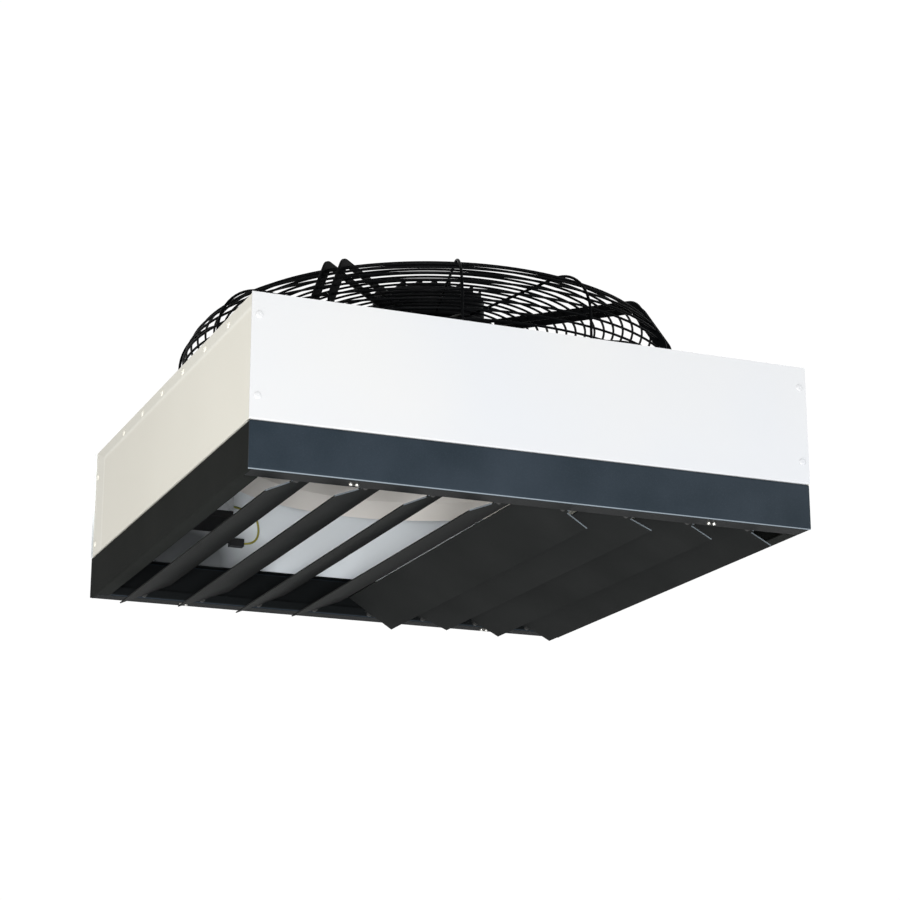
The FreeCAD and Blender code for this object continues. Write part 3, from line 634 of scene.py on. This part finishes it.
def soft_corners(line, radius, steps=6):
    """A line of (across, up) points whose inner corners are rounded to about the radius."""
    soft = [Vector(line[0])]
    for before, corner, after in zip(line, line[1:], line[2:]):
        before, corner, after = Vector(before), Vector(corner), Vector(after)
        way_in = (corner - before).normalized()
        way_out = (after - corner).normalized()
        turn = way_in.angle(way_out)
        room = min((corner - before).length * 0.45, (after - corner).length * 0.45)
        reach = min(radius * math.tan(turn / 2), room)
        for number in range(steps + 1):
            share = number / steps
            start = corner - way_in * reach * (1 - share)
            end = corner + way_out * reach * share
            soft.append(start.lerp(end, share))
    return soft + [Vector(line[-1])]


def ring(radius, height, size, wire):
    """A ring of round wire in the middle of a seat of the given size, whose outer top edge is given."""
    steps = 144 if radius > 160 * mm else 96
    middle = radius - size / 2
    path = []
    for step in range(steps):
        angle = 2 * math.pi * step / steps
        path.append(Vector((middle * math.cos(angle), middle * math.sin(angle), height - size / 2)))
    return tube(path, wire / 2, 10, closed=True)


def shoulder_point(share, out=0.0):
    """A point of the guard's shoulder, from its side at 0 to its top at 1, moved outward."""
    turn = math.pi / 2 * share
    reach = guard_shoulder + out
    return shoulder_centre + reach * math.cos(turn), shoulder_z + reach * math.sin(turn)


def guard_rings():
    """The rings of the guard's side, shoulder and top, and the thick ring that it stands on."""
    side_count = int((shoulder_z - foot_sheet - base_bar) // ring_pitch)
    side = [(guard_radius, shoulder_z - number * ring_pitch) for number in range(1, side_count + 1)]
    steps = round(math.pi / 2 * guard_shoulder / ring_pitch)
    shoulder = [shoulder_point(number / steps) for number in range(steps + 1)]
    top_count = int((shoulder_centre - mount_ring_outer - ring_seat) // ring_pitch)
    top = [(shoulder_centre - number * ring_pitch, guard_height) for number in range(1, top_count + 1)]
    for part, places in {"side": side, "shoulder": shoulder, "top": top}.items():
        rings = joined([ring(radius, height, ring_seat, ring_wire) for radius, height in places])
        add_piece("round_%s_rings" % part, rings, guard_coat, casing, "guard_%s_rings" % part)
    base = ring(guard_radius, foot_sheet + base_bar, base_bar, base_bar)
    add_piece("round_base_ring", base, guard_coat, casing, "guard_base_ring")


def thin_wire_path(angle):
    """A thin wire's middle line on the rings: up the side, round the shoulder and in over the top."""
    out = (thin_wire + ring_wire - ring_seat) / 2
    line = [(guard_radius + out, foot_sheet), (guard_radius + out, shoulder_z * 0.5)]
    steps = 14
    line += [shoulder_point(number / steps, out) for number in range(steps + 1)]
    line.append((thin_wire_end, guard_height + out))
    turn = about_z(angle)
    return [turn @ Vector((distance, 0, height)) for distance, height in line]


def strip_shape():
    """One support strip on edge: steep up the guard, bent over its shoulder, notched for the mount ring."""
    outer, outer_bend, outer_shoulder = 325.5 * mm, 52 * mm, 287.8 * mm
    inner, inner_bend, inner_shoulder = 311.5 * mm, 48 * mm, 276.9 * mm
    low = strip_top - strip_depth
    notch = mount_ring_outer + 4 * mm
    outside = [(outer, foot_sheet), (outer, outer_bend), (outer_shoulder, strip_top),
               (strip_inner_end, strip_top)]
    inside = [(strip_inner_end, guard_height), (notch, guard_height), (notch, low), (inner_shoulder, low),
              (inner, inner_bend), (inner, foot_sheet)]
    outline = soft_corners(outside, radius=20 * mm) + soft_corners(inside, radius=6 * mm, steps=3)
    return plate_of(outline, strip_sheet)


def guard_bars():
    """The four pairs of support strips, and the thin wires between them."""
    strip = strip_shape()
    strips = []
    for angle in arm_angles:
        for side in (-1, 1):
            seat = about_z(angle) @ Matrix.Translation((0, side * strip_offset, 0))
            strips.append(moved(strip, seat))
    piece = add_piece("bent_support_strips", joined(strips), guard_coat, casing,
                      "guard_support_bars")
    break_edges(piece, 0.5 * mm)
    wires = joined([tube(thin_wire_path(angle), thin_wire / 2, 12) for angle in thin_wire_angles])
    add_piece("round_thin_wires", wires, guard_coat, casing, "guard_thin_wires")


def lead_saddles():
    """Bent saddles over the motor's lead, with their legs on the strips' edges."""
    half, top, sheet = strip_offset + strip_sheet / 2, 118.5 * mm, 1.5 * mm
    width = 12 * mm
    over = [(-half, strip_top), (-half, top), (half, top), (half, strip_top)]
    under = [(half - sheet, strip_top), (half - sheet, top - sheet), (sheet - half, top - sheet),
             (sheet - half, strip_top)]
    outline = soft_corners(over, radius=2.5 * mm, steps=4) + soft_corners(under, radius=1.0 * mm, steps=4)
    saddle = plate_of(outline, width)
    shapes = []
    for place in (172 * mm, 206 * mm, 240 * mm):
        seat = about_z(lead_angle) @ Matrix.Translation((place + width / 2, 0, 0)) @ about_z(90)
        shapes.append(moved(saddle, seat))
    add_piece("lead_saddles", joined(shapes), black_moulding, casing, "lead_clips", sharp=35)


def fin_shape(left, right, low, high):
    """A cooling fin along Y that ends at the housing's round side."""
    radius = motor_radius - 0.4 * mm
    least = 4 * mm
    steps = 4
    near, far = [], []
    for number in range(steps + 1):
        x = max(-radius, min(radius, left + (right - left) * number / steps))
        reach = max(least, math.sqrt(max(0.0, radius ** 2 - x ** 2)))
        near.append((x, -reach))
        far.append((x, reach))
    outline = near + far[::-1]
    return prism([Vector((x, y, low)) for x, y in outline], [Vector((x, y, high)) for x, y in outline])


def motor_housing():
    """The round cast housing over the motor, with a groove round it and straight cooling fins."""
    low = guard_height
    high = low + motor_height
    fins_low = low + motor_height - fin_height
    edge = 1.5 * mm
    inward = motor_radius - edge
    groove_low, groove_floor_low, groove_floor_high, groove_high = 9 * mm, 10.5 * mm, 13 * mm, 14.5 * mm
    profile = [(near_axis, low), (inward, low), (motor_radius, low + edge), (motor_radius, low + groove_low),
               (inward, low + groove_floor_low), (inward, low + groove_floor_high),
               (motor_radius, low + groove_high), (motor_radius, fins_low - edge), (inward, fins_low),
               (near_axis, fins_low)]
    shapes = [turned(profile, 120)]
    pitch = (2 * motor_radius - fin_width) / (fin_count - 1)
    for number in range(fin_count):
        left = -motor_radius + number * pitch
        shapes.append(fin_shape(left, left + fin_width, fins_low - edge, high))
    piece = add_piece("finned_housing", joined(shapes), motor_coat, casing,
                      "electronics_housing")
    break_edges(piece, 0.7 * mm, degrees=50)


def mount_ring_profile():
    """The ring that carries the motor in the middle of the guard."""
    top, low, edge = guard_height, guard_height - 4 * mm, 0.8 * mm
    return [(mount_ring_inner, low), (mount_ring_outer - edge, low), (mount_ring_outer, low + edge),
            (mount_ring_outer, top - edge), (mount_ring_outer - edge, top), (mount_ring_inner, top)]


def rotor_profile():
    """The outer rotor's cup, which opens upward."""
    edge, rim = 0.8 * mm, 3 * mm
    rim_step = 1.2 * mm
    floor = rotor_bottom + hub_floor
    return [(near_axis, rotor_bottom), (rotor_outer - edge, rotor_bottom), (rotor_outer, rotor_bottom + edge),
            (rotor_outer, rotor_top - rim), (rotor_outer - rim_step, rotor_top - rim_step),
            (rotor_outer - rim, rotor_top), (rotor_bore, rotor_top), (rotor_bore, floor), (near_axis, floor)]


def hub_profile():
    """The hub's cup round the rotor, with a dished floor that has a groove."""
    low = rotor_bottom - hub_floor
    bore = rotor_outer + 0.05 * mm
    dish, groove = 1.5 * mm, 1 * mm
    corner, corner_step = 3 * mm, 0.9 * mm
    rim, lip = 1.5 * mm, 1 * mm
    floor = [(near_axis, low + dish), (20 * mm, low + dish), (22 * mm, low), (56 * mm, low),
             (58 * mm, low + groove), (62 * mm, low + groove), (64 * mm, low)]
    wall = [(hub_radius - corner, low), (hub_radius - corner_step, low + corner_step),
            (hub_radius, low + corner), (hub_radius, hub_top - rim), (hub_radius - rim, hub_top)]
    inside = [(bore + lip, hub_top), (bore, hub_top - lip), (bore, rotor_bottom), (near_axis, rotor_bottom)]
    return floor + wall + inside


def motor():
    """The housing above the guard, the ring that it stands on, and the outer rotor in the fan's hub."""
    motor_housing()
    parts = [
        ("round_mount_ring", mount_ring_profile(), guard_coat, casing, "guard_black", "motor_mount_ring"),
        ("round_rotor", rotor_profile(), motor_coat, rotor, "motor_black", "rotor_can"),
        ("round_hub", hub_profile(), motor_coat, rotor, "motor_black", "impeller_hub"),
    ]
    for name, profile, finish, body, slot, node in parts:
        add_piece(name, turned(profile, 96), finish, body, node, sharp=30)


def blade_point(distance, along, side):
    """A point of the blade's skin at a distance from the axis. along runs from -0.5 to 0.5."""
    tries, edge_taper = 8, 0.35
    radius = distance
    for _ in range(tries):
        share = max(0.0, (radius - blade_root_radius) / (fan_radius - blade_root_radius))
        chord = root_chord + share * (tip_chord - root_chord)
        pitch = math.radians(root_pitch + share * (tip_pitch - root_pitch))
        camber = chord * (root_camber + share * (tip_camber - root_camber))
        thickness = root_thickness + share * (tip_thickness - root_thickness)
        round_edge = math.sqrt(max(0.0, 1 - (2 * abs(along)) ** 4))
        skin = side * thickness / 2 * round_edge * (1 - edge_taper * abs(2 * along))
        off = camber * (1 - 4 * along ** 2) + skin
        tangent = along * chord * math.cos(pitch) - off * math.sin(pitch)
        radius = math.sqrt(max(1e-9, distance ** 2 - tangent ** 2))
    height = along * chord * math.sin(pitch) + off * math.cos(pitch)
    sweep = math.radians(blade_sweep * share ** sweep_growth)
    x = radius * math.cos(sweep) - tangent * math.sin(sweep)
    y = radius * math.sin(sweep) + tangent * math.cos(sweep)
    return Vector((x, y, blade_mid_height + height))


def blade_shape():
    """One blade: its skin from hub to tip, round at both edges."""
    stations, chords = 22, 24
    around = 2 * chords
    points = []
    for station in range(stations + 1):
        distance = hub_radius + (fan_radius - hub_radius) * station / stations
        upper = [blade_point(distance, 0.5 - number / chords, 1) for number in range(chords)]
        lower = [blade_point(distance, -0.5 + number / chords, -1) for number in range(chords)]
        points += upper + lower
    return points, bands(stations + 1, around) + caps(stations + 1, around)


def fan_blades():
    blade = blade_shape()
    turns = [Matrix.Rotation(2 * math.pi * number / blade_count, 4, "Z") for number in range(blade_count)]
    blades = joined([moved(blade, turn) for turn in turns])
    add_piece("sickle_blades", blades, blade_coat, rotor, "fan_blades")


def nozzle():
    """The fan nozzle with a smooth bell and a soft turn into its flare."""
    top = -top_sheet - sheet_gap
    mouth = nozzle_throat_radius + nozzle_bell
    line = [(mouth + nozzle_flange, top)]
    steps = 14
    for number in range(steps + 1):
        angle = math.pi / 2 * number / steps
        line.append((mouth - nozzle_bell * math.sin(angle), top - nozzle_bell * (1 - math.cos(angle))))
    line += [(nozzle_throat_radius, top - nozzle_bell - nozzle_throat), (nozzle_outlet_radius, -nozzle_depth)]
    outside = []
    for index, (radius, height) in enumerate(line):
        before = Vector(line[max(0, index - 1)])
        after = Vector(line[min(len(line) - 1, index + 1)])
        way = (after - before).normalized()
        outside.append((radius - way.y * nozzle_sheet, height + way.x * nozzle_sheet))
    shape = turned(line + outside[::-1], 160)
    add_piece("smooth_nozzle", shape, inner_coat, casing, "inlet_nozzle", sharp=35)


def rivet_shape():
    """A blind rivet's head: a low dome with the dimple that its pulled stem leaves."""
    radius, height, stem = 4.2 * mm, 1.3 * mm, 1.25 * mm
    rim = 0.25
    profile = [(radius, 0), (radius, height * rim)]
    for number in range(1, 7):
        angle = math.pi / 2 * number / 7
        rise = rim + (1 - rim) * math.sin(angle)
        profile.append((stem + (radius - stem) * math.cos(angle), height * rise))
    profile += [(stem, height), (stem * 0.9, height * 0.62), (stem * 0.3, height * 0.55),
                (0.02 * mm, height * 0.55)]
    return turned_head(profile, 28)


def panel_rivets(shape):
    """The rivets at the corners of the front and rear panels."""
    heads = []
    for x in (-341 * mm, 341 * mm):
        for drop in (26 * mm, 119 * mm):
            heads.append(moved(shape, facing((x, -casing_half, -drop), (0, -1, 0))))
            heads.append(moved(shape, facing((x, casing_half, -drop), (0, 1, 0))))
    add_piece("domed_panel_rivets", joined(heads), front_coat, casing, "panel_rivets",
              sharp=40)


def side_rivets(shape):
    """The rivets on the leaning margins of the side panels: a row on top and two at the back."""
    row_drop, row_start, row_pitch, row_count = 10 * mm, -260 * mm, 92 * mm, 6
    rear_inset, rear_drops = 12 * mm, (36 * mm, 129 * mm)
    heads = []
    for side in (-1, 1):
        out = (side * margin_height, 0, margin_lean)
        x = side * (casing_half - margin_lean * (margin_height - row_drop) / margin_height)
        for number in range(row_count):
            heads.append(moved(shape, facing((x, row_start + number * row_pitch, -row_drop), out)))
        out = (side * margin_depth, margin_lean, 0)
        x = side * (casing_half - margin_lean * (margin_depth - rear_inset) / margin_depth)
        for drop in rear_drops:
            heads.append(moved(shape, facing((x, side_rear - rear_inset, -drop), out)))
    add_piece("domed_side_rivets", joined(heads), side_coat, casing, "side_rivets", sharp=40)


def rivets():
    shape = rivet_shape()
    panel_rivets(shape)
    side_rivets(shape)


def cross_head(radius, height):
    """A pan head with a cross recess."""
    recess, slot_half_angle, between_slots = 6, 0.22, 0.42

    def widths(angle, index):
        if index < recess:
            return 1
        near = abs((angle + math.pi / 4) % (math.pi / 2) - math.pi / 4)
        return 1 if near < slot_half_angle else between_slots

    profile = scaled_profile(radius, height, (1, 0), (1, 0.35), (0.95, 0.65), (0.84, 0.85), (0.7, 0.96),
                             (0.62, 1), (0.56, 1), (0.46, 0.4), (0.02, 0.35))
    return turned_head(profile, 56, widths)


def six_sided(angle):
    return math.cos(math.pi / 6) / math.cos((angle + math.pi / 6) % (math.pi / 3) - math.pi / 6)


def socket_head(radius, height):
    """A cap screw's head with a six-sided socket."""
    socket = 5

    def widths(angle, index):
        return 1 if index < socket else six_sided(angle)

    profile = scaled_profile(radius, height, (1, 0), (1, 0.75), (0.93, 0.94), (0.85, 1), (0.62, 1), (0.58, 1),
                             (0.56, 0.4), (0.02, 0.38))
    return turned_head(profile, 48, widths)


def rim_screws():
    """The screws under the plinth's rim, each left at a turn of its own."""
    shape = cross_head(2.6 * mm, 2.4 * mm)
    rim_y, rim_z = 334 * mm, -202 * mm
    heads = []
    for side in (-1, 1):
        for x in (-226.5, -219.5, 219.5, 226.5):
            turn = Matrix.Rotation(0.7 * x + side, 4, "Z")
            heads.append(moved(moved(shape, turn), facing((x * mm, side * rim_y, rim_z), (0, 0, -1))))
    add_piece("cross_rim_screws", joined(heads), zinc_screw, casing, "rim_screws",
              sharp=35)


def guard_screws():
    """The cap screws that hold the guard's feet."""
    shape = socket_head(5 * mm, 3.3 * mm)
    distance, offset = 337 * mm, 26 * mm
    heads = []
    for angle in arm_angles:
        for side in (-1, 1):
            seat = Matrix.Translation((distance, side * offset, foot_sheet))
            heads.append(moved(shape, about_z(angle) @ seat))
    add_piece("socket_guard_screws", joined(heads), zinc_screw, casing, "guard_screws",
              sharp=35)


def nuts():
    """Round blind nuts in the top plate, with the first turns of their thread."""
    radius, flange, height, chamfer = 5.5 * mm, 8.5 * mm, 1.5 * mm, 0.4 * mm
    bore, root, bottom = 4.0 * mm, 4.3 * mm, -13.5 * mm
    turn_height, turn_count = 1.25 * mm, 8
    profile = [(radius, bottom), (radius, 0), (flange, 0), (flange, height * 0.6),
               (flange - 0.7 * mm, height), (root + chamfer, height)]
    for number in range(turn_count):
        high = height - chamfer - number * turn_height
        profile += [(root, high), (bore, high - turn_height / 2)]
    profile.append((bore, bottom))
    nut = turned(profile, 40)
    ends = (-suspension_half, suspension_half)
    shape = joined([moved(nut, Matrix.Translation((x, y, 0))) for x in ends for y in ends])
    add_piece("flanged_nuts", shape, zinc_screw, casing, "suspension_nuts", sharp=30)


def half_round(radius, offset, start, end, side):
    """Half of a slotted pin's head, along Y, on one side of its slot."""
    steps = 14
    limit = math.acos(offset / radius)
    outline = []
    for number in range(steps + 1):
        angle = -limit + 2 * limit * number / steps
        outline.append((side * radius * math.cos(angle), radius * math.sin(angle)))
    return prism([Vector((x, start, z)) for x, z in outline], [Vector((x, end, z)) for x, z in outline])


def pin_shape():
    """A turned pin along Y: a slotted head that grips the blade's tab, a collar and a journal."""
    head_start, tab_end, head_end, pin_end = 313 * mm, 317.5 * mm, 318.5 * mm, 324.5 * mm
    head, slot_half, journal, middle = 3.6 * mm, 0.75 * mm, 2.0 * mm, 0.05 * mm
    collar = head - 0.4 * mm
    solid = [(middle, tab_end), (collar, tab_end), (collar, head_end - 0.2 * mm),
             (head - 0.6 * mm, head_end), (journal, head_end), (journal, pin_end - 0.5 * mm),
             (journal - 0.5 * mm, pin_end), (middle, pin_end)]
    shaft = moved(turned(solid, 24), Matrix.Rotation(-math.pi / 2, 4, "X"))
    cheeks = [half_round(head, slot_half, head_start, tab_end + 0.4 * mm, side) for side in (-1, 1)]
    return joined([shaft] + cheeks)


def louvre_pins():
    """The nylon pins that grip each blade's tabs and turn in the plinth's lips."""
    pin = pin_shape()
    middle = (len(louvre_tilts) + 1) / 2
    for number, tilt in enumerate(louvre_tilts, start=1):
        place = Matrix.Translation(((number - middle) * louvre_pitch, 0, louvre_pivot))
        seat = place @ Matrix.Rotation(math.radians(tilt), 4, "Y")
        pins = joined([moved(pin, seat), moved(pin, seat @ about_z(180))])
        louvre = "louvre_%d" % number
        add_piece("turned_pins_%d" % number, pins, dark_nylon, louvre, louvre + "_pins",
                  sharp=35)


def gland_shape(radius, length, thread, behind):
    """A cable gland: a six-sided nut, a ribbed cap that closes on the cable, and its thread behind."""
    nut_end, cap_end, rib_count, rib_depth = 4, 7, 12, 0.035

    def widths(angle, index):
        if index < nut_end:
            return six_sided(angle)
        return 1 - rib_depth * (1 + math.cos(rib_count * angle)) if index < cap_end else 1

    bore = radius * 0.455
    nut = [(0.95, 0), (1, 0.03), (1, 0.28), (0.94, 0.34)]
    cap = [(0.84, 0.36), (0.83, 0.72), (0.76, 0.84), (0.62, 0.95), (0.48, 1)]
    profile = scaled_profile(radius, length, *nut, *cap)
    profile += [(bore, length * 0.97), (bore, -behind), (thread, -behind), (thread, 0)]
    return turned(profile, 72, widths)


def gland(node, seat, **sizes):
    shape = moved(gland_shape(**sizes), seat)
    add_piece("ribbed_" + node, shape, black_moulding, casing, node, sharp=32)


def glands():
    arm = about_z(lead_angle)
    on_plate = arm @ facing((333 * mm, 0, 0), (0, 0, 1))
    on_housing = arm @ facing((motor_radius, 0, 126 * mm), (1, 0, 0))
    on_rear_panel = facing((-260 * mm, casing_half, -70 * mm), (0, 1, 0))
    gland("plate_gland", on_plate, radius=8.5 * mm, length=16 * mm, thread=5.9 * mm, behind=8 * mm)
    gland("housing_gland", on_housing, radius=8 * mm, length=18 * mm, thread=6 * mm, behind=2 * mm)
    gland("supply_gland", on_rear_panel, radius=11 * mm, length=22 * mm, thread=7.9 * mm, behind=16 * mm)


def spline_points(control):
    """Points along a smooth line that is drawn by its control points."""
    curve = bpy.data.curves.new("line", "CURVE")
    curve.dimensions = "3D"
    spline = curve.splines.new("NURBS")
    spline.points.add(len(control) - 1)
    for point, place in zip(spline.points, control):
        point.co = (*place, 1)
    spline.order_u = 3
    spline.use_endpoint_u = True
    spline.resolution_u = 14
    holder = bpy.data.objects.new("line", curve)
    mesh = bpy.data.meshes.new_from_object(holder)
    points = [vertex.co.copy() for vertex in mesh.vertices]
    bpy.data.objects.remove(holder)
    return points


def lead(name, node, control, radius, finish):
    """A held lead, round and smooth, with a band value round its section for a striped sheath."""
    sides, band_share = 16, 0.35
    shape = tube(spline_points(control), radius, sides)
    piece = add_piece(name, shape, finish, casing, node)
    levels = [1.0 if index % sides < sides * band_share else 0.0 for index in range(len(shape[0]))]
    piece.data.attributes.new("band", "FLOAT", "POINT").data.foreach_set("value", levels)


def leads():
    """The leads, each along listed points, in millimetres."""
    run = [(91, 126), (112, 126), (150, 113), (300, 113), (333, 113), (333, 80), (333, 16)]
    arm = about_z(lead_angle)
    motor_run = [arm @ Vector((x * mm, 0, z * mm)) for x, z in run]
    lead("smooth_motor_lead", "motor_lead", motor_run, 3.9 * mm, cable_sheath)
    plug_y, plug_z = 343.3, -107.5
    earth = [(-189.25, 290, -68), (-156, 300, -68), (-116, plug_y, -68), (-116, plug_y, plug_z),
             (-138, plug_y, plug_z)]
    earth_run = [Vector(point) * mm for point in earth]
    lead("smooth_earth_lead", "earth_lead", earth_run, 1.5 * mm, earth_sheath)
    control = [(-190, 284, -90), (-176, 284, -90), (-175, 313.6, -94.8), (-174, plug_y, plug_z),
               (-158, plug_y, plug_z)]
    control_run = [Vector(point) * mm for point in control]
    lead("smooth_control_lead", "control_lead", control_run, 1.5 * mm, cable_sheath)


def finish_nodes():
    """The CAD's own pieces, each with its finish."""
    finishes = {
        front_coat: ["front_panel"],
        rear_coat: ["rear_panel"],
        side_coat: ["left_side_panel", "right_side_panel"],
        plinth_front_coat: ["plinth_front"],
        plinth_rear_coat: ["plinth_rear"],
        rail_coat: ["plinth_left", "plinth_right"],
        zinc_sheet: ["top_plate", "corner_angles", "plinth_brackets", "terminal_box"],
        zinc_screw: ["rotor_shaft", "bearings", "guard_feet"],
        motor_coat: ["stator"],
        black_moulding: ["terminal_lid", "inner_connector"],
        louvre_coat: ["louvre_%d" % number for number in range(1, len(louvre_tilts) + 1)],
    }
    for finish, nodes in finishes.items():
        for node in nodes:
            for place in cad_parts[node].material_slots:
                place.link = "OBJECT"
                place.material = finish


def area_light(name, place, aim, size, power, colour):
    lamp = bpy.data.lights.new(name, "AREA")
    lamp.shape = "SQUARE"
    lamp.size = size
    lamp.energy = power
    lamp.color = colour
    holder = bpy.data.objects.new(name, lamp)
    holder.location = place
    way = Vector(aim) - Vector(place)
    holder.rotation_euler = way.to_track_quat("-Z", "Y").to_euler()
    holder.visible_camera = False
    bpy.context.scene.collection.objects.link(holder)


def studio():
    """A pale floor well below the hung unit, even light from all round and four soft lamps."""
    half, floor_z = 15.0, -3.6
    points = [(-half, -half, floor_z), (half, -half, floor_z), (half, half, floor_z), (-half, half, floor_z)]
    floor_mesh = mesh_of("floor", points, [(0, 1, 2, 3)])
    floor_mesh.materials.append(paper)
    floor = bpy.data.objects.new("floor", floor_mesh)
    bpy.context.scene.collection.objects.link(floor)
    studio_light()
    distance_behind = 1.2
    behind = Vector(camera_place) - distance_behind * Vector(camera_ahead)
    area_light("camera_lamp", behind, aim=(0.03, 0, -0.05), size=0.6, power=136, colour=(0.97, 0.985, 1.0))
    area_light("front_lamp", (2.9, -2.9, 0.75), aim=(0.3, 0, -0.1), size=1.3, power=48,
               colour=(0.94, 0.97, 1.0))
    area_light("warm_lamp", (-2.9, -0.6, -1.1), aim=(0, 0, -0.1), size=1.6, power=32,
               colour=(1.0, 0.97, 0.91))
    area_light("low_lamp", (-0.35, -0.5, -3.0), aim=(-0.1, 0.1, -0.1), size=1.4, power=42,
               colour=(0.97, 0.99, 1.0))
    bpy.context.scene.view_settings.view_transform = "Standard"


def studio_light():
    """Even light from all round, with a bright backdrop behind the unit."""
    world = bpy.data.worlds.new("studio")
    world.use_nodes = True
    nodes, links = world.node_tree.nodes, world.node_tree.links
    spot = nodes.new("ShaderNodeTexCoord")
    toward = nodes.new("ShaderNodeVectorMath")
    toward.operation = "DOT_PRODUCT"
    toward.inputs[1].default_value = camera_ahead
    fall = nodes.new("ShaderNodeValToRGB")
    set_stops(fall.color_ramp, [(0.0, 0.28), (0.5, 0.36), (0.80, 0.54), (0.93, 1.03)])
    links.new(spot.outputs["Generated"], toward.inputs[0])
    links.new(toward.outputs["Value"], fall.inputs["Fac"])
    links.new(fall.outputs["Color"], nodes["Background"].inputs["Color"])
    nodes["Background"].inputs["Strength"].default_value = 1.0
    bpy.context.scene.world = world


def camera():
    """The photograph's view, from below the front left corner."""
    lens = bpy.data.cameras.new("camera")
    lens.lens = camera_lens
    lens.sensor_width = 36
    lens.clip_start = 0.05
    holder = bpy.data.objects.new("camera", lens)
    ahead = Vector(camera_ahead).normalized()
    right = Vector(camera_right).normalized()
    up = right.cross(ahead).normalized()
    turn = Matrix((right, up, -ahead)).transposed().to_4x4()
    holder.matrix_world = Matrix.Translation(camera_place) @ turn
    bpy.context.scene.collection.objects.link(holder)
    bpy.context.scene.camera = holder


finish_nodes()
guard_rings()
guard_bars()
lead_saddles()
motor()
fan_blades()
nozzle()
rivets()
rim_screws()
guard_screws()
nuts()
louvre_pins()
glands()
leads()
studio()
camera()
